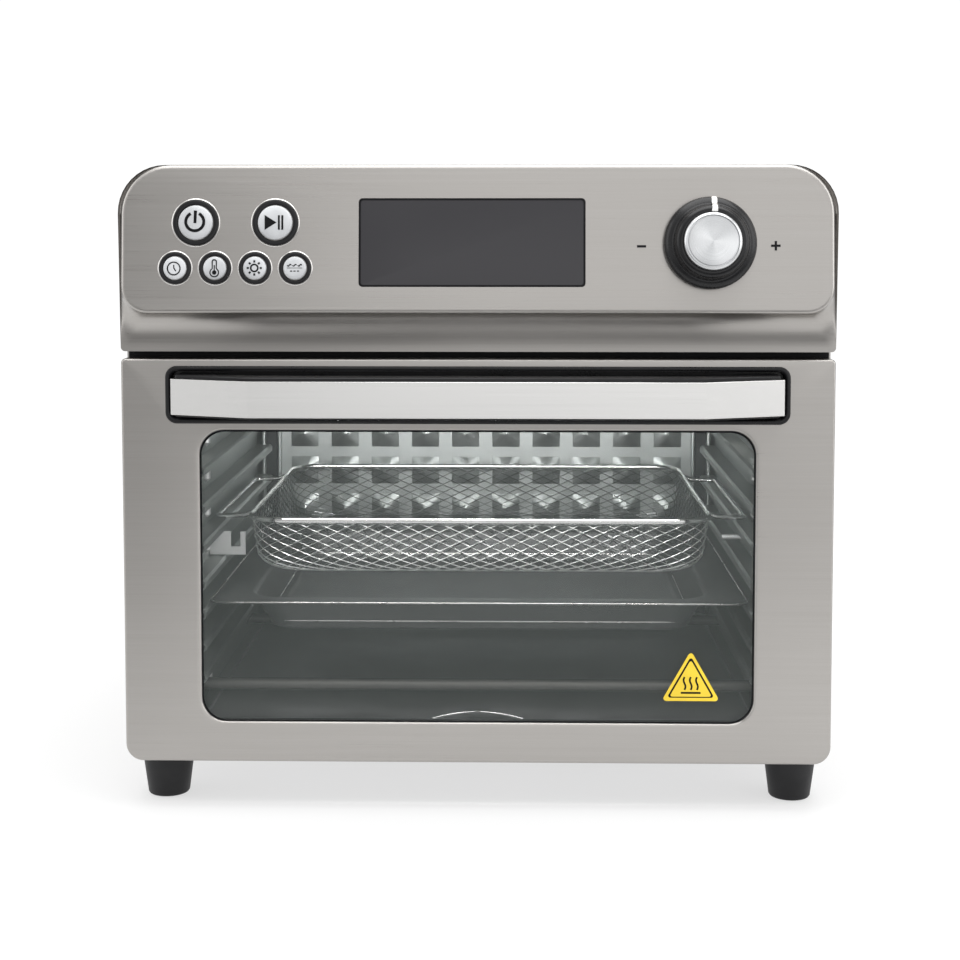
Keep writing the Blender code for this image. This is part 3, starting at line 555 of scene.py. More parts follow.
def screws(mats):
    x, y, h = screwRings()
    placed = []
    back = (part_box("rear_cover")[1].y - doorFace) / mm
    spots = [(sx * 186.0, z) for sx in (-1, 1) for z in (48.0, 160.0, 270.0)]
    spots += [(sx * 90.0, z) for sx in (-1, 1) for z in (44.0, 354.0)]
    for a, b in spots:
        points = toBody(np.stack([a + x, back + h, b + y], axis=-1))
        placed.append(loft("screw", points, mats["screw"], "oven_body", "dark_steel"))
    joinPieces("rearScrews", placed)
    placed = []
    for a, b in [(sx * px, 70.0 + 200.0 * k) for sx in (-1, 1) for px in (60.0, 150.0) for k in (0, 1)]:
        points = toBody(np.stack([a + x, b + y, 28.0 - h], axis=-1))
        placed.append(loft("screw", points, mats["screw"], "oven_body", "dark_steel"))
    joinPieces("baseScrews", placed)
    placed = []
    dome = [(2.6, 0.0), (2.6, 0.8), (2.2, 2.0), (1.4, 2.9), (0.5, 3.3)]
    for a in (190.0, 176.5, 157.0, 62.5, -62.5, -157.0, -176.5, -190.0):
        x, y, h = turnedRings(dome, 16)
        points = toBody(np.stack([a + x, 20.4 + y, 28.0 - h], axis=-1))
        placed.append(loft("screw", points, mats["screw"], "oven_body", "dark_steel"))
    joinPieces("frontScrews", placed)


def makeDoor(mats):
    look = {"half": 200.0, "foot": 28.0, "top": 258.0, "rim": 12.0,
            "window": (-156.0, 156.0, 51.3, 217.6), "corner": 13.5}
    x0, x1, z0, z1 = look["window"]
    inset, reach = fillet((0.0, 0.0), (1.5, 1.5), 6)  # outer edge, from the return to the face
    half, foot, top, rim = look["half"], look["foot"], look["top"], look["rim"]
    outer = facingFront(roundBox(-half + inset, half - inset, foot + inset, top - inset,
                                 10.0 - inset, 2.6 - inset), 1.5 - reach)
    angle = np.linspace(0, math.pi / 2, 7)  # window edge, rolled inwards
    out = 1.6 * (1 - np.sin(angle))
    bend = look["corner"] + out
    roll = facingFront(roundBox(x0 - out, x1 + out, z0 - out, z1 + out, bend, bend),
                       1.6 * (1 - np.cos(angle)))
    swell = facingFront(roundBox(x0 - 3.2, x1 + 3.2, z0 - 3.2, z1 + 3.2, 16.5, 16.5), [0.0])
    inside = facingFront(roundBox([x0 - 0.8], [x1 + 0.8], [z0 - 0.8], [z1 + 0.8], 14.0, 14.0), [1.05])
    hollow = facingFront(roundBox(-half + 1.0, half - 1.0, foot + 1.0, top - 1.0, 9.0, 1.6), [1.05])
    hollowRim = facingFront(roundBox(-half + 0.8, half - 0.8, foot + 0.8, top - 0.8, 9.2, 1.8), [rim])
    outerRim = facingFront(roundBox(-half, half, foot, top, 10.0, 2.6), [rim])
    rings = np.concatenate([outerRim, outer, swell, roll, inside, hollow, hollowRim])
    panel = loft("doorPanelSkin", rings, mats["steel"], "door", "brushed_steel", closed=True,
                 replaces=("door_panel",))
    grip = roundBox(-173.5, 173.5, 222.9, 252.5, 5.3, 5.3, 6)
    cutWith(panel, facingFront(np.repeat(grip, 2, 0), [-4.0, 4.0]))
    for side in (-1, 1):
        near, far = sorted((side * 187.5, side * 193.0))
        notch = roundBox(near, far, 25.0, 30.0, 0.2, 0.2, 1)
        cutWith(panel, facingFront(np.repeat(notch, 2, 0), [3.0, 14.0]))
    dress("door_glass", mats["glass"])
    dress("door_inner_frame", mats["dark"])
    # black band printed round the window, just inside the rolled edge
    grow = np.array([-0.8, 1.6, 1.6, -0.8])
    tall = np.array([-0.8, 1.4, 1.4, -0.8])
    seal = facingFront(roundBox(x0 - grow, x1 + grow, z0 - tall, z1 + tall, 13.6, 13.6),
                       [1.04, 1.04, 1.09, 1.09])
    loft("windowEdgeBand", seal, mats["ink"], "door", "black_plastic", closed=True)
    makeHandle(mats)
    makeLabel(mats)


def makeHandle(mats):
    cup = {"half": 172.0, "foot": 224.4, "top": 251.0}
    def ring(grow, radius, depth):
        return facingFront(roundBox(-cup["half"] - grow, cup["half"] + grow, cup["foot"] - grow,
                                    cup["top"] + grow, radius, radius, 8), depth)
    angle = np.linspace(0, math.pi, 9)
    lipGrow = 1.5 - 1.5 * np.cos(angle)
    lip = facingFront(roundBox(-172.0 - lipGrow, 172.0 + lipGrow, 224.4 - lipGrow, 251.0 + lipGrow,
                               4.0 + lipGrow * 0.8, 4.0 + lipGrow * 0.8, 8), -0.25 - 1.1 * np.sin(angle))
    rings = np.concatenate([ring(0.0, 4.0, [7.0]), lip, ring(1.2, 5.0, [-0.2]), ring(1.2, 5.0, [8.0])])
    loft("handleCup", rings, mats["black"], "door", "black_plastic", bevel=0.3, replaces=("handle_bezel",))
    flat, end, reach = 125.0, 170.6, 25.0
    body = np.array([(-end + 2.2, -6.87), (-flat + 0.3, 1.7 - reach), (flat - 0.3, 1.7 - reach),
                     (end - 2.2, -6.87), (end - 2.2, 6.7), (150.0, 6.7), (144.0, -5.0), (120.0, -11.0),
                     (-120.0, -11.0), (-144.0, -5.0), (-150.0, 6.7), (-end + 2.2, 6.7)])
    loft("handleGrip", facingUp(np.stack([body] * 2), [226.0, 249.6]), mats["black"], "door",
         "black_plastic", bevel=1.2, replaces=("handle_body",))
    skin = np.array([(-end, -8.0), (-flat, -reach), (flat, -reach), (end, -8.0),
                     (end - 0.47, -6.68), (flat - 0.24, 1.4 - reach), (0.24 - flat, 1.4 - reach),
                     (0.47 - end, -6.68)])
    loft("handleFacePlate", facingUp(np.stack([skin] * 2), [227.2, 247.4]), mats["plate"], "door",
         "satin_silver", smooth=4.0, bevel=0.45, replaces=("handle_plate",))


def flatShape(name, outlines, depthOrRise, thick, place, material, body, slot):
    # flat figures from closed outlines, each a thin slab of its own, as one piece
    slabs = []
    for outline in outlines:
        outline = np.asarray(outline, float)
        rings = place(np.stack([outline, outline]), [depthOrRise, depthOrRise + thick])
        slabs.append(loft(name, rings, material, body, slot))
    return joinPieces(name, slabs) if len(slabs) > 1 else slabs[0]


def bandShape(name, line, width, depthOrRise, thick, place, material, body, slot):
    # a flat stroke of even width along an open line of points
    line = np.asarray(line, float)
    ahead = np.gradient(line, axis=0)
    ahead /= np.linalg.norm(ahead, axis=1, keepdims=True)
    side = np.stack([-ahead[:, 1], ahead[:, 0]], axis=-1) * width / 2
    outline = np.concatenate([line + side, (line - side)[::-1]])
    return flatShape(name, [outline], depthOrRise, thick, place, material, body, slot)


def arcLine(cx, cy, radius, start, end, steps=24):
    angle = np.radians(np.linspace(start, end, steps + 1))
    return np.stack([cx + radius * np.cos(angle), cy + radius * np.sin(angle)], axis=-1)


def roundTriangle(cx, cy, width, height, radius):
    # triangle standing on its base, each corner an arc
    half = width / 2
    slant = math.atan2(height, half)
    low, high = 90 - math.degrees(slant), 90 + math.degrees(slant)
    side = radius / math.tan(slant / 2)
    topDrop = radius / math.cos(slant)
    return np.concatenate([arcLine(cx + half - side, cy + radius, radius, -90, low, 8),
                           arcLine(cx, cy + height - topDrop, radius, low, high, 8),
                           arcLine(cx - half + side, cy + radius, radius, high, 270, 8)])


def makeLabel(mats):
    # a plain hot-surface triangle: yellow, a black border line, three waves over a bar
    look = {"x": 120.8, "z": 64.2, "width": 33.0, "height": 29.0, "front": 1.05}
    x, z = look["x"], look["z"]
    face = look["front"]
    flatShape("labelGround", [roundTriangle(x, z, look["width"], look["height"], 1.6)], face - 0.12, 0.12,
              facingFront, mats["label"], "door", "door_glass")
    outer = roundTriangle(x, z + 1.9, look["width"] - 6.0, look["height"] - 5.2, 1.2)
    inner = roundTriangle(x, z + 2.5, look["width"] - 9.0, look["height"] - 7.8, 0.9)
    rings = np.concatenate([facingFront(outer[None], [face - 0.14]), facingFront(inner[None], [face - 0.14]),
                            facingFront(inner[None], [face - 0.1]), facingFront(outer[None], [face - 0.1])])
    strokes = [loft("labelMark", rings, mats["ink"], "door", "door_glass", closed=True)]
    rise = np.linspace(0, 1, 15)
    for k in (-1, 0, 1):
        wave = np.stack([x + 3.5 * k + 0.55 * np.sin(rise * 2 * math.pi), z + 6.4 + 7.4 * rise], axis=-1)
        strokes.append(bandShape("labelMark", wave, 1.05, face - 0.14, 0.04, facingFront, mats["ink"],
                                 "door", "door_glass"))
    bar = [(x - 5.6, z + 4.7), (x + 5.6, z + 4.7)]
    strokes.append(bandShape("labelMark", bar, 1.1, face - 0.14, 0.04, facingFront, mats["ink"],
                             "door", "door_glass"))
    joinPieces("labelMarks", strokes)


buttonPlaces = {
    "power": (-155.0, 9.0, 9.5), "start_pause": (-111.0, 9.0, 9.5), "timer": (-166.4, -16.1, 6.35),
    "temperature": (-144.3, -16.1, 6.35), "light": (-122.2, -16.1, 6.35), "mode": (-100.0, -16.1, 6.35),
}


def makeButtons(mats):
    # collar: a half-round bead about the cap, with a fine raised edge where it meets the panel, paler than
    # the panel as a painted highlight
    collars, edges = [], []
    band = np.linspace(0, math.pi, 9)
    for key, (u, v, r) in buttonPlaces.items():
        outer = 12.6 if r > 8 else 8.8
        middle, reach = (outer + r + 0.3) / 2, (outer - r - 0.3) / 2
        profile = [(outer, -1.3)]
        profile += list(zip(middle + reach * np.cos(band), 0.45 + 0.5 * np.sin(band)))
        profile += [(r + 0.3, -2.8), (outer, -2.8)]
        collars.append(turned("collar", "P", (u, v), profile, mats["black"], "oven_body", "black_plastic",
                              56, closed=True))
        # the edge's pale colour is a painted highlight
        edge = [(outer + 0.05, -0.2), (outer + 0.1, 0.22), (outer + 0.35, 0.34), (outer + 0.55, 0.26),
                (outer + 0.85, 0.02), (outer + 0.85, -0.2)]
        edges.append(turned("edge", "P", (u, v), edge, mats["halo"], "oven_body", "brushed_steel",
                            56, closed=True))
        cap = [(r + 1.6, -4.1), (r + 1.6, -3.1), (r, -3.1), (r, 0.9), (r - 0.25, 1.5), (r - 0.8, 1.85),
               (r * 0.6, 2.1), (r * 0.25, 2.2)]
        turned("cap_" + key, "P", (u, v), cap, mats["cap"], "button_%s_cap" % key, "button_silver", 56,
               replaces=("button_" + key,))
    joinPieces("collarEdgesPaintedHighlight", edges)
    joinPieces("buttonCollars", collars)
    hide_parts("button_carrier")
    symbols(mats)


def symbols(mats):
    top, thick = 2.02, 0.19

    def draw(key, lines, width):
        u, v, r = buttonPlaces[key]
        marks = []
        for line in lines:
            points = np.asarray(line, float) + (u, v)
            marks.append(bandShape("mark", points, width, top, thick, onPanel, mats["ink"],
                                   "button_%s_cap" % key, "button_silver"))
        return marks

    def fill(key, outlines):
        u, v, r = buttonPlaces[key]
        shapes = [np.asarray(outline, float) + (u, v) for outline in outlines]
        return [flatShape("mark", shapes, top, thick, onPanel, mats["ink"], "button_%s_cap" % key,
                          "button_silver")]

    ray = [(math.cos(a), math.sin(a)) for a in np.arange(8) * math.pi / 4]
    joinPieces("markPower", draw("power", [arcLine(-0.2, 0.4, 5.0, 117, 423),
                                           [(-0.1, -0.4), (0.15, 6.6)]], 1.65))
    joinPieces("markStart", fill("start_pause", [[(-5.6, -4.1), (1.0, 0.0), (-5.6, 4.1)]])
               + draw("start_pause", [[(2.25, -4.0), (2.25, 4.0)], [(4.15, -4.0), (4.15, 4.0)]], 1.1))
    joinPieces("markTimer", draw("timer", [arcLine(-0.3, -0.3, 3.5, 0, 360, 32), [(-0.3, 1.7), (-0.25, -0.1)],
                                           [(-0.35, 0.1), (0.9, -1.8)]], 0.68))
    joinPieces("markTemperature", fill("temperature", [arcLine(0, -2.5, 1.25, 0, 360, 20)[:-1]])
               + draw("temperature", [np.concatenate([arcLine(0, -2.5, 2.35, 62, -242, 24),
                                                      arcLine(0, 3.4, 1.15, 180, 0, 10), [(1.1, -0.5)]]),
                                      [(0, -2.4), (0, 1.6)]], 0.65))
    joinPieces("markLight", draw("light", [arcLine(0, 0, 1.95, 0, 360, 24)], 0.95)
               + draw("light", [[(2.95 * c, 2.95 * s), (4.2 * c, 4.2 * s)] for c, s in ray], 1.05))
    # the mode key: a row of small waves over a fine bar, with a row of dashes below it
    x = np.linspace(-1.1, 1.1, 11)
    waves = [np.stack([x + 2.9 * k, 1.5 + 0.5 * np.sin(x * 2.9)], axis=-1) for k in (-1, 0, 1)]
    dashes = [[(-2.5 + 1.9 * k, -1.7), (-1.3 + 1.9 * k, -1.7)] for k in range(3)]
    joinPieces("markMode", draw("mode", waves + dashes, 0.6) + draw("mode", [[(-4.2, 0.0), (4.2, 0.0)]], 0.3))


def makeKnob(mats):
    u, v = 128.0, -2.4
    body = [(3.4, 12.5), (3.4, 2.4), (21.0, 2.4), (21.0, 1.0), (24.4, 0.9), (25.1, 1.2), (25.4, 2.0),
            (25.4, 4.2), (25.1, 5.4), (24.3, 6.6), (23.0, 7.6), (21.9, 8.1), (21.2, 8.3), (20.8, 8.8),
            (20.3, 11.2), (19.8, 13.0), (19.0, 14.4), (17.9, 15.1), (16.6, 15.3), (16.1, 15.2), (16.0, 14.8)]
    turned("knobGrip", "P", (u, v), body, mats["knob"], "knob", "black_plastic", 96, smooth=50.0,
           replaces=("knob_body",))
    cap = [(15.7, 15.1), (15.8, 16.2), (15.7, 17.4), (15.3, 18.0), (14.4, 18.5), (14.0, 18.4), (13.8, 17.5),
           (13.5, 17.5), (13.3, 18.45), (13.1, 18.5), (6.0, 18.5)]
    knobCentre = fromPanel([[u, v, 0.0]])[0]
    look = {"dark": (0.53, 0.54, 0.55), "light": (0.70, 0.71, 0.72), "rough": (0.24, 0.36)}
    spun = spunMetal("spun_aluminium", tuple(knobCentre), look)
    turned("knobFace", "P", (u, v), cap, spun, "knob", "satin_silver", 96, smooth=30.0,
           replaces=("knob_cap",))
    turn = math.radians(90 - 4)
    along, across = np.array([math.cos(turn), math.sin(turn)]), np.array([-math.sin(turn), math.cos(turn)])
    profile = np.array([(16.4, 15.75), (18.2, 15.6), (19.6, 14.6), (20.9, 12.2), (21.8, 9.4), (23.6, 8.2),
                        (25.0, 6.9), (25.7, 5.2), (25.8, 3.4)])
    rings = []
    for side, lift in ((-1.55, 0.0), (-1.25, 0.35), (1.25, 0.35), (1.55, 0.0), (1.55, -1.2), (-1.55, -1.2)):
        flat = np.array([u, v]) + profile[:, :1] * along + side * across
        rings.append(np.column_stack([flat, profile[:, 1] + lift]))
    points = fromPanel(np.stack(rings, axis=1))
    loft("knobPointer", points, mats["bright"], "knob", "satin_silver")
    flatShape("signMinus", [[(88.2, -4.6), (93.2, -4.6), (93.2, -3.3), (88.2, -3.3)]], 0.0, 0.06, onPanel,
              mats["ink"], "oven_body", "black_plastic")
    arm, thick = 2.6, 0.64
    plus = [(-arm, -thick), (-thick, -thick), (-thick, -arm), (thick, -arm), (thick, -thick), (arm, -thick),
            (arm, thick), (thick, thick), (thick, arm), (-thick, arm), (-thick, thick), (-arm, thick)]
    flatShape("signPlus", [np.array(plus) + (164.2, -3.6)], 0.0, 0.06, onPanel, mats["ink"], "oven_body",
              "black_plastic")


def makeDisplay(mats):
    u, v, width, height = -2.5, -1.9, 125.0, 49.0

    def box(inset, radius):
        return roundBox(u - width / 2 + inset, u + width / 2 - inset, v - height / 2 + inset,
                        v + height / 2 - inset, radius, radius, 6)

    rings = np.concatenate([onPanel(box(-3.0, 3.0), [-2.5]), onPanel(box(-3.0, 3.0), [-1.3]),
                            onPanel(box(0.25, 2.2), [-1.3]), onPanel(box(0.25, 2.2), [-0.75]),
                            onPanel(box(0.5, 2.0), [-0.5]), onPanel(box(0.9, 1.8), [-0.45])])
    loft("displayWindow", rings, mats["lens"], "oven_body", "display_lens", replaces=("display_lens",))
    border = np.concatenate([onPanel(box(0.3, 2.1), [-0.7]), onPanel(box(0.3, 2.1), [-0.38]),
                             onPanel(box(1.15, 1.5), [-0.38]), onPanel(box(1.15, 1.5), [-0.7])])
    loft("displayBorder", border, mats["ink"], "oven_body", "black_plastic", closed=True)


def makeBackWall(mats):
    # a flat sheet with rows of square pyramids pressed towards the door: the height falls
    # from the middle of each square with the larger of the two distances from it
    look = {"half": 158.4, "depth": 300.0, "foot": 44.1, "top": 239.7, "pitchX": 29.8, "pitchZ": 27.6,
            "firstRow": 68.8, "rows": 7, "columns": 10, "square": 10.1, "rise": 5.2, "corner": 9.6}
    step = np.array([-1.0, -0.66, -0.33, -0.04, 0.04, 0.33, 0.66, 1.0]) * look["square"]
    centresX = (np.arange(look["columns"]) - (look["columns"] - 1) / 2) * look["pitchX"]
    centresZ = look["firstRow"] + np.arange(look["rows"]) * look["pitchZ"]
    turn = np.linspace(0, math.pi / 2, 8)
    bendX = look["half"] + look["corner"] * np.sin(turn)
    bendY = look["depth"] - look["corner"] * (1 - np.cos(turn))
    xs = np.concatenate([-bendX[::-1], (centresX[:, None] + step).ravel(), bendX])
    base = np.concatenate([bendY[::-1], np.full(centresX.size * step.size, look["depth"]), bendY])
    zs = (centresZ[:, None] + step).ravel()
    zs = np.concatenate([[look["foot"]], zs[(zs > look["foot"] + 1) & (zs < look["top"] - 1)], [look["top"]]])
    away = np.maximum(np.abs(xs[None, :, None] - centresX).min(-1),
                      np.abs(zs[:, None, None] - centresZ).min(-1))
    rise = look["rise"] * np.clip(1.0 - away / look["square"], 0, 0.96)
    depth = np.broadcast_to(base, (len(zs), len(xs))) - rise
    front = np.stack([np.broadcast_to(xs, depth.shape), depth,
                      np.broadcast_to(zs[:, None], depth.shape)], axis=-1)
    back = front.copy()
    back[..., 1] += 0.7
    faces = gridFaces(len(zs), len(xs), False, False)
    points = np.concatenate([front.reshape(-1, 3), back.reshape(-1, 3)])
    count = len(front.reshape(-1, 3))
    rows, columns = len(zs), len(xs)
    ids = np.arange(count).reshape(rows, columns)
    edge = np.concatenate([ids[0], ids[1:, -1], ids[-1, -2::-1], ids[-2:0:-1, 0]])
    after = np.roll(edge, -1)
    rim = np.stack([edge, after, after + count, edge + count], axis=-1)
    allFaces = np.concatenate([faces, faces[:, ::-1] + count, rim])
    addPiece("backWallPressing", toBody(points), allFaces, mats["sheet"], "oven_body", "cavity_sheet",
             smooth=20.0, replaces=("cavity_back_wall",))


def makeCavity(mats):
    for node in ("cavity_left_wall", "cavity_right_wall", "cavity_floor", "cavity_ceiling"):
        dress(node, mats["sheet"])
    for node in ("fan_grille", "fan_blade", "temperature_sensor", "lamp_socket"):
        dress(node, mats["zinc"])
    dress("lamp_lens", mats["lamp"])
    dress("spit_bracket", mats["pale"])
    rod("spitDriveStub", np.array([[149.0, 92.5, 141.0], [158.0, 92.5, 141.0], [167.6, 92.5, 141.0]]), 1.5,
        mats["pale"], "oven_body", "brushed_steel")
    makeBackWall(mats)
    for key in ("lower_front", "lower_rear", "upper_front", "upper_rear"):
        low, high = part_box("heater_" + key)
        centre = ((low.y + high.y) / 2 / mm - doorFace / mm, (low.z + high.z) / 2 / mm)
        profile = [(1.6, -178.0), (2.4, -177.4), (2.4, -170.0), (3.5, -169.0), (3.5, -60.0), (3.5, 60.0),
                   (3.5, 169.0), (2.4, 170.0), (2.4, 177.4), (1.6, 178.0)]
        turned("heater" + key.title().replace("_", ""), "X", centre, profile, mats["heater"], "oven_body",
               "heater_tube", 24, replaces=("heater_" + key,))
    # pressed beads stand on each side wall between the rails, their pale colour a painted glint standing in
    # for reflections of the front; in the rear corners a dark strip, a painted dark reflection, runs up
    # between two rounded folds of the sheet
    beads = []
    angle = np.arange(12) * math.pi / 6
    rails = [44.5, 71.0, 89.0, 107.7, 125.0, 147.0, 169.0, 191.0, 222.0]

    def bead(x, depth, low, high, wide, deep):
        ends = np.array([low, low + 2.0, high - 2.0, high])[:, None]
        size = np.array([0.15, 1.0, 1.0, 0.15])[:, None]
        outX, outY = x + size * wide * np.cos(angle), depth + size * deep * np.sin(angle)
        return np.stack(np.broadcast_arrays(outX, outY, ends), axis=-1)

    for side in (-1, 1):
        for low, high in zip(rails, rails[1:]):
            # the beads' pale colour is a painted glint
            beads.append(loft("bead", toBody(bead(side * 167.3, 82.0, low + 7.0, high - 2.0, 2.4, 2.6)),
                              mats["pale"], "oven_body", "cavity_sheet"))
        for x, depth, size in ((163.4, 291.2, 1.5), (152.8, 298.6, 1.5)):
            beads.append(loft("bead", toBody(bead(side * x, depth, 46.0, 238.0, size, size)), mats["sheet"],
                              "oven_body", "cavity_sheet"))
        # dark strip: painted dark reflection in the rear corner
        flat = np.array([[side * 154.2, 299.4], [side * 162.0, 293.0],
                         [side * 162.0, 293.6], [side * 154.2, 300.0]])
        loft("cornerChannel" + ("Left" if side < 0 else "Right"),
             facingUp(np.stack([flat] * 2), [46.0, 238.0]), mats["dark"], "oven_body", "cavity_sheet")
    joinPieces("wallBeadsWithPaintedGlints", beads)


def meshBasket(mats):
    # expanded metal: a sheet of diamonds laid on the basket's wall and floor, whose edges
    # become strands. On the wall the first parameter runs round the basket and the second
    # from the rim down; on the floor both run over the flat.
    look = {"top": 154.6, "foot": 122.6, "strand": 0.85, "around": 158, "down": 14, "draft": 2.0,
            "rimBox": (-139.4, 139.4, 60.6, 287.4, 21.5), "bend": 15.0, "cellX": 12.4, "cellY": 46.0}
    k = look["around"]

    def loop(box, radius, share):
        # points at equal steps along a rounded rectangle
        x0, x1, y0, y1 = box
        dense = roundBox(x0, x1, y0, y1, radius, radius, 40)[0]
        dense = np.concatenate([dense, dense[:1]])
        run = np.concatenate([[0], np.cumsum(np.linalg.norm(np.diff(dense, axis=0), axis=1))])
        at = share * run[-1]
        return np.stack([np.interp(at, run, dense[:, 0]), np.interp(at, run, dense[:, 1])], axis=-1)

    # the wall falls with a slight draft, then turns through a quarter circle into the floor
    straight = look["top"] - look["foot"] - look["bend"]
    run = np.linspace(0, straight + look["bend"] * math.pi / 2, look["down"] + 1)
    turn = np.clip((run - straight) / look["bend"], 0, math.pi / 2)
    inward = look["draft"] * np.clip(run / straight, 0, 1) + look["bend"] * (1 - np.cos(turn))
    height = look["top"] - np.minimum(run, straight) - look["bend"] * np.sin(turn)
    x0, x1, y0, y1, radius = look["rimBox"]
    rows = []
    for inset, z in zip(inward, height):
        flat = loop((x0 + inset, x1 - inset, y0 + inset, y1 - inset), radius, np.arange(k) / k)
        rows.append(np.column_stack([flat, np.full(k, z)]))
    foot = (x0 + inward[-1], x1 - inward[-1], y0 + inward[-1], y1 - inward[-1], radius)
    wall = np.stack(rows)
    i = np.arange(k)[None, :]
    j = np.arange(1, look["down"])[:, None]
    keep = ((i + j) % 2 == 0).ravel()
    quads = np.stack([(j - 1) * k + i + 0 * j, j * k + (i + 1) % k, (j + 1) * k + i, j * k + (i - 1) % k],
                     axis=-1).reshape(-1, 4)[keep]
    # floor diamonds, kept where all four corners lie inside the floor's outline
    nx, ny = 2 * int(252 / look["cellX"]), 2 * int(240 / look["cellY"])
    gx = (np.arange(nx + 1) - nx / 2) * look["cellX"] / 2
    gy = 174.0 + (np.arange(ny + 1) - ny / 2) * look["cellY"] / 2
    fx, fy = np.meshgrid(gx, gy)
    floor = np.stack([fx, fy, np.full(fx.shape, look["foot"] + 0.1)], axis=-1)
    a = np.arange(1, nx)[None, :]
    b = np.arange(1, ny)[:, None]
    keepFloor = ((a + b) % 2 == 0).ravel()
    start = wall.shape[0] * k
    width = nx + 1
    floorQuads = (start + np.stack([(b - 1) * width + a, b * width + a + 1, (b + 1) * width + a,
                                    b * width + a - 1], axis=-1)).reshape(-1, 4)[keepFloor]
    points = np.concatenate([wall.reshape(-1, 3), floor.reshape(-1, 3)])
    x0, x1, y0, y1, radius = foot
    dx = np.maximum(np.abs(points[:, 0]) - (x1 - radius), 0)
    dy = np.maximum(np.abs(points[:, 1] - (y0 + y1) / 2) - ((y1 - y0) / 2 - radius), 0)
    inside = dx * dx + dy * dy <= (radius + 0.5) ** 2
    floorQuads = floorQuads[inside[floorQuads].all(axis=1)]
    faces = np.concatenate([quads, floorQuads])
    used, faces = np.unique(faces, return_inverse=True)
    points = points[used]
    faces = faces.reshape(-1, 4)
    mesh = bpy.data.meshes.new("basketMesh")
    mesh.from_pydata(toBody(points).tolist(), [], faces.tolist())
    mesh.update()
    basket = bpy.data.objects.new("basketMesh", mesh)
    bpy.context.scene.collection.objects.link(basket)
    mesh.materials.append(mats["mesh"])
    strands = basket.modifiers.new("strands", "WIREFRAME")
    strands.thickness, strands.use_even_offset, strands.use_boundary = look["strand"] * mm, False, True
    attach(basket, "basket")
    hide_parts("basket_shell")


def makeBasket(mats):
    meshBasket(mats)
    # rim rail: an upright oval carried round the loop, taller than it is thick
    turn = np.arange(16) * math.pi / 8
    grow = 1.35 * np.cos(turn)
    loop = roundBox(-140.0 - grow, 140.0 + grow, 60.0 - grow, 288.0 + grow, 22.0 + grow, 22.0 + grow, 12)
    rail = facingUp(loop, 156.0 + 1.95 * np.sin(turn))
    wires = [loft("wire", rail, mats["chrome"], "basket", "chromed_wire", closed=True)]
    for side in (-1, 1):
        corner = np.linspace(0, math.pi / 2, 7)
        front = np.column_stack([159.0 + 4.0 * np.sin(corner), 99.0 - 4.0 * np.cos(corner)])
        rear = np.column_stack([159.0 + 4.0 * np.cos(corner), 243.0 + 4.0 * np.sin(corner)])
        plan = np.concatenate([[[139.5, 95.0], [146.0, 95.0]], front, rear, [[146.0, 247.0], [139.5, 247.0]]])
        drop = 156.0 - 3.4 * np.clip((plan[:, 0] - 139.5) / 8.0, 0, 1)
        path = np.column_stack([side * plan[:, 0], plan[:, 1], drop])
        wires.append(rod("wire", path, 1.5, mats["chrome"], "basket", "chromed_wire"))
    joinPieces("basketWires", wires)
    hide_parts("basket_rim")


def makePan(mats):
    # section from the flange's rolled edge, over the flat, down the wall and across the floor
    box = lambda grow: (-135.0 - grow, 135.0 + grow, 52.0 - grow, 271.0 + grow)
    turn = np.linspace(0, math.pi / 2, 6)
    rows = [(-158.0, 158.0, 36.0, 287.0, 9.0, 110.9), (-159.0, 159.0, 35.0, 288.0, 10.0, 111.1),
            (-159.0, 159.0, 35.0, 288.0, 10.0, 111.6), (-158.0, 158.0, 36.0, 287.0, 9.0, 111.8)]
    rows += [(-138.0 + g, 138.0 - g, 49.0 + g, 274.0 - g, 20.0, 111.8 - d)
             for g, d in zip(3.0 * np.sin(turn), 3.0 * (1 - np.cos(turn)))]
    rows += [(-127.0 + g, 127.0 - g, 59.0 + g, 264.0 - g, 16.0, 94.3 - d)
             for g, d in zip(3.6 * (1 - np.cos(turn)), 3.4 * np.sin(turn))]
    top = rows
    rows = np.array(top)
    low = rows[4:].copy()
    low[:, 0] -= 0.7; low[:, 1] += 0.7; low[:, 2] -= 0.7; low[:, 3] += 0.7; low[:, 5] -= 0.75
    rows = np.concatenate([low[::-1], rows])
    outline = roundBox(*[rows[:, i] for i in range(4)], rows[:, 4], rows[:, 4], 10)
    order = facingUp(outline, rows[:, 5])
    loft("bakingPanShell", order, mats["enamel"], "pan", "pan_enamel", replaces=("baking_pan",))
    # the rolled edge of the flange and the bead pressed round the foot of the wall are pale steel rods over
    # the dark enamel: painted highlights where they catch the light
    for name, x, y0, y1, z, radius in (("panRolledEdgePaintedHighlight", 158.2, 35.8, 287.2, 111.5, 9.4),
                                       ("panFootBeadPaintedHighlight", 128.5, 57.6, 265.4, 96.0, 17.0)):
        line = roundBox(-x, x, y0, y1, radius, radius, 10)[0]
        rod(name, np.column_stack([line, np.full(len(line), z)]), 0.65, mats["halo"], "pan",
            "pan_enamel", True)


def makeTray(mats):
    dress("crumb_tray", mats["zinc"])
    x = np.linspace(-26.0, 26.0, 25)
    edge = np.column_stack([x, np.full(25, 20.3), 47.6 + 3.9 * (1 - (x / 26.0) ** 2)])
    rod("trayTabEdge", edge, 0.6, mats["bright"], "tray", "cavity_sheet")


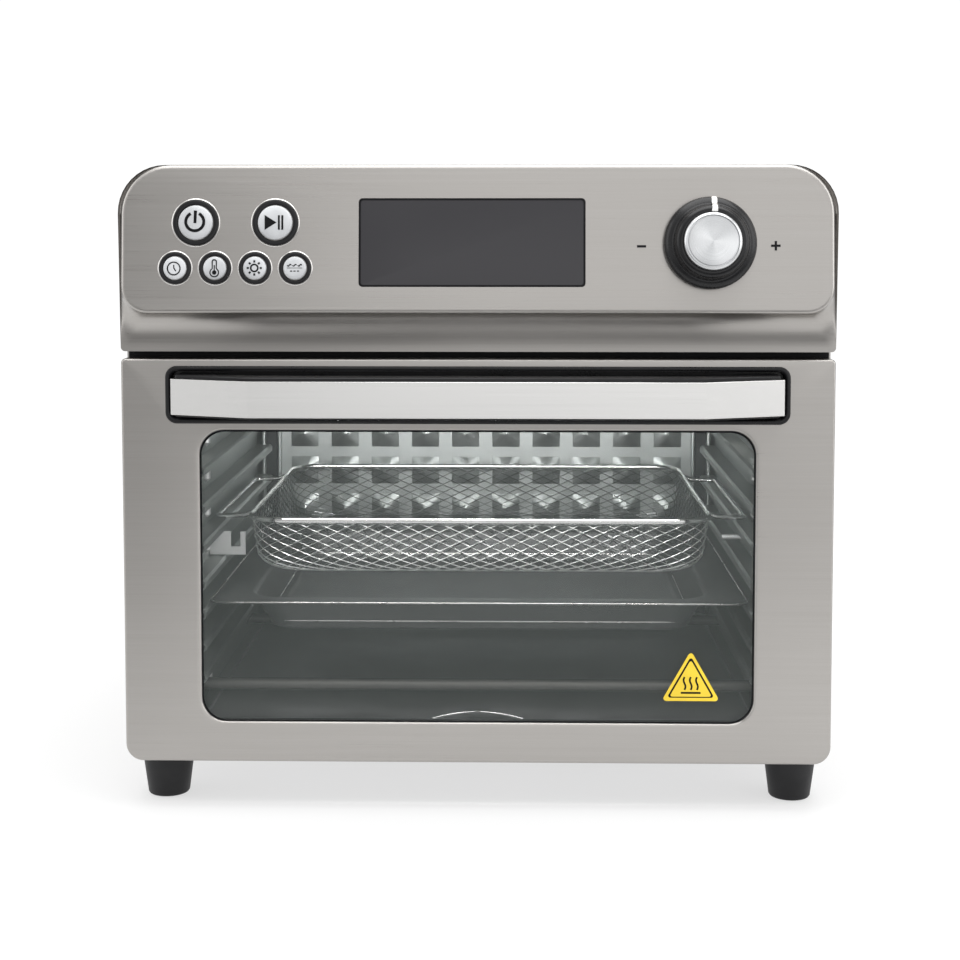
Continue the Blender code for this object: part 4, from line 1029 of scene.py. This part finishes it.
def makeStage():
    bpy.context.scene.view_settings.view_transform = "Standard"
    floor = bpy.data.meshes.new("floor")
    side, front, back, below = 1.6, -0.5, 1.6, -0.0006
    floor.from_pydata([(-side, front, below), (side, front, below), (side, back, below),
                       (-side, back, below)], [], [(0, 1, 2, 3)])
    ground = bpy.data.objects.new("floor", floor)
    bpy.context.scene.collection.objects.link(ground)
    f = Finish("pale_floor")
    f.set(Base_Color=(0.32, 0.32, 0.32), Roughness=0.8, Emission_Color=(1.0, 1.0, 1.0),
          Emission_Strength=0.62)
    f.shader.inputs["Specular IOR Level"].default_value = 0.1
    floor.materials.append(f.material)
    # softboxes: where each stands, its width and height, and its power
    studio = {"top": ((0.1, -0.3, 2.0), 2.2, 2.0, 40.0), "right": ((1.9, -0.7, 0.9), 1.2, 1.6, 9.0),
              "left": ((-1.9, -0.4, 0.9), 1.0, 1.6, 6.0), "back": ((0.3, 2.0, 1.4), 1.6, 1.0, 12.0)}
    for name, (place, width, height, power) in studio.items():
        lamp = bpy.data.lights.new(name, "AREA")
        lamp.shape, lamp.size, lamp.size_y, lamp.energy = "RECTANGLE", width, height, power
        aimed(lamp, name, place, (0.0, 0.0, 0.15))
    inner = bpy.data.lights.new("cavity", "AREA")
    inner.shape, inner.size, inner.size_y, inner.energy = "RECTANGLE", 0.30, 0.03, 0.36
    inner.spread = math.radians(110)
    aimed(inner, "cavity", (0.0, doorFace + 0.05, 0.232), (0.0, doorFace + 0.30, 0.19))
    fill = bpy.data.lights.new("shelf", "AREA")
    fill.shape, fill.size, fill.size_y, fill.energy = "RECTANGLE", 0.26, 0.012, 0.09
    fill.spread = math.radians(100)
    aimed(fill, "shelf", (0.0, doorFace + 0.016, 0.206), (0.0, doorFace + 0.062, 0.138))
    makeWorld()


def aimed(lamp, name, place, target):
    # stands a lamp at a place with its face turned to a target
    holder = bpy.data.objects.new(name, lamp)
    bpy.context.scene.collection.objects.link(holder)
    holder.location = place
    x, y, z = np.array(target) - np.array(place)
    holder.rotation_euler = (math.atan2(math.hypot(x, y), -z), 0.0, math.atan2(y, x) - math.pi / 2)


def makeWorld():
    # white where the camera looks straight at it; in reflections it is a dim room that grows
    # lighter to the right and overhead, with a bright wall at each side
    world = bpy.data.worlds.new("studio")
    bpy.context.scene.world = world
    world.use_nodes = True
    w = Finish.__new__(Finish)
    w.tree = world.node_tree
    way = w.node("ShaderNodeTexCoord", {}, {}, 0)
    x = w.node("ShaderNodeSeparateXYZ", {}, {0: way}, 0)
    y = w.node("ShaderNodeSeparateXYZ", {}, {0: way}, 1)
    z = w.node("ShaderNodeSeparateXYZ", {}, {0: way}, 2)
    high = w.range(x, -0.24, -0.10, 0.40, 1.2) * w.range(z, 0.10, 0.22, 1.4, 0.9)
    low = w.range(x, -0.40, 0.30, 0.70, 1.16)
    front = low + (high - low) * w.range(z, -0.08, 0.06, 0.0, 1.0)
    side = w.range(w.node("ShaderNodeMath", {"operation": "ABSOLUTE"}, {0: x}), 0.40, 0.62, 0.0, 1.0)
    front = front + (w.range(x, -0.1, 0.1, 0.92, 1.12) - front) * side
    front = front + (1.0 - front) * w.range(z, 0.30, 0.70, 0.0, 1.0)
    front = front + (0.22 - front) * w.range(z, -0.14, -0.36, 0.0, 1.0)
    light = front + (0.35 - front) * w.range(y, -0.1, 0.35, 0.0, 1.0)
    seen = w.node("ShaderNodeLightPath", {}, {}, 0)
    strength = light * (1.0 - seen) + seen * 1.05
    w.put(w.tree.nodes["Background"].inputs["Strength"], strength)
    w.put(w.tree.nodes["Background"].inputs["Color"], (1.0, 1.0, 1.0))


def makeCamera():
    look = {"place": (0.0205, doorFace - 0.934, 0.332), "lens": 62.9, "pitch": 3.74, "yaw": 1.15,
            "shift": -0.15}
    camera = bpy.data.cameras.new("camera")
    camera.lens, camera.sensor_width, camera.shift_y = look["lens"], 36.0, look["shift"]
    camera.clip_start, camera.clip_end = 0.02, 50.0
    holder = bpy.data.objects.new("camera", camera)
    bpy.context.scene.collection.objects.link(holder)
    holder.location = look["place"]
    holder.rotation_euler = (math.radians(90.0 - look["pitch"]), 0.0, math.radians(look["yaw"]))
    bpy.context.scene.camera = holder


makeCamera()
makeStage()
print("stage and camera ready")
mats = makeMaterials()
makeCasing(mats)
print("casing done")
makeDoor(mats)
print("door done")
makeButtons(mats)
makeKnob(mats)
makeDisplay(mats)
print("controls done")
makeCavity(mats)
makeBasket(mats)
makePan(mats)
makeTray(mats)
print("inside done")
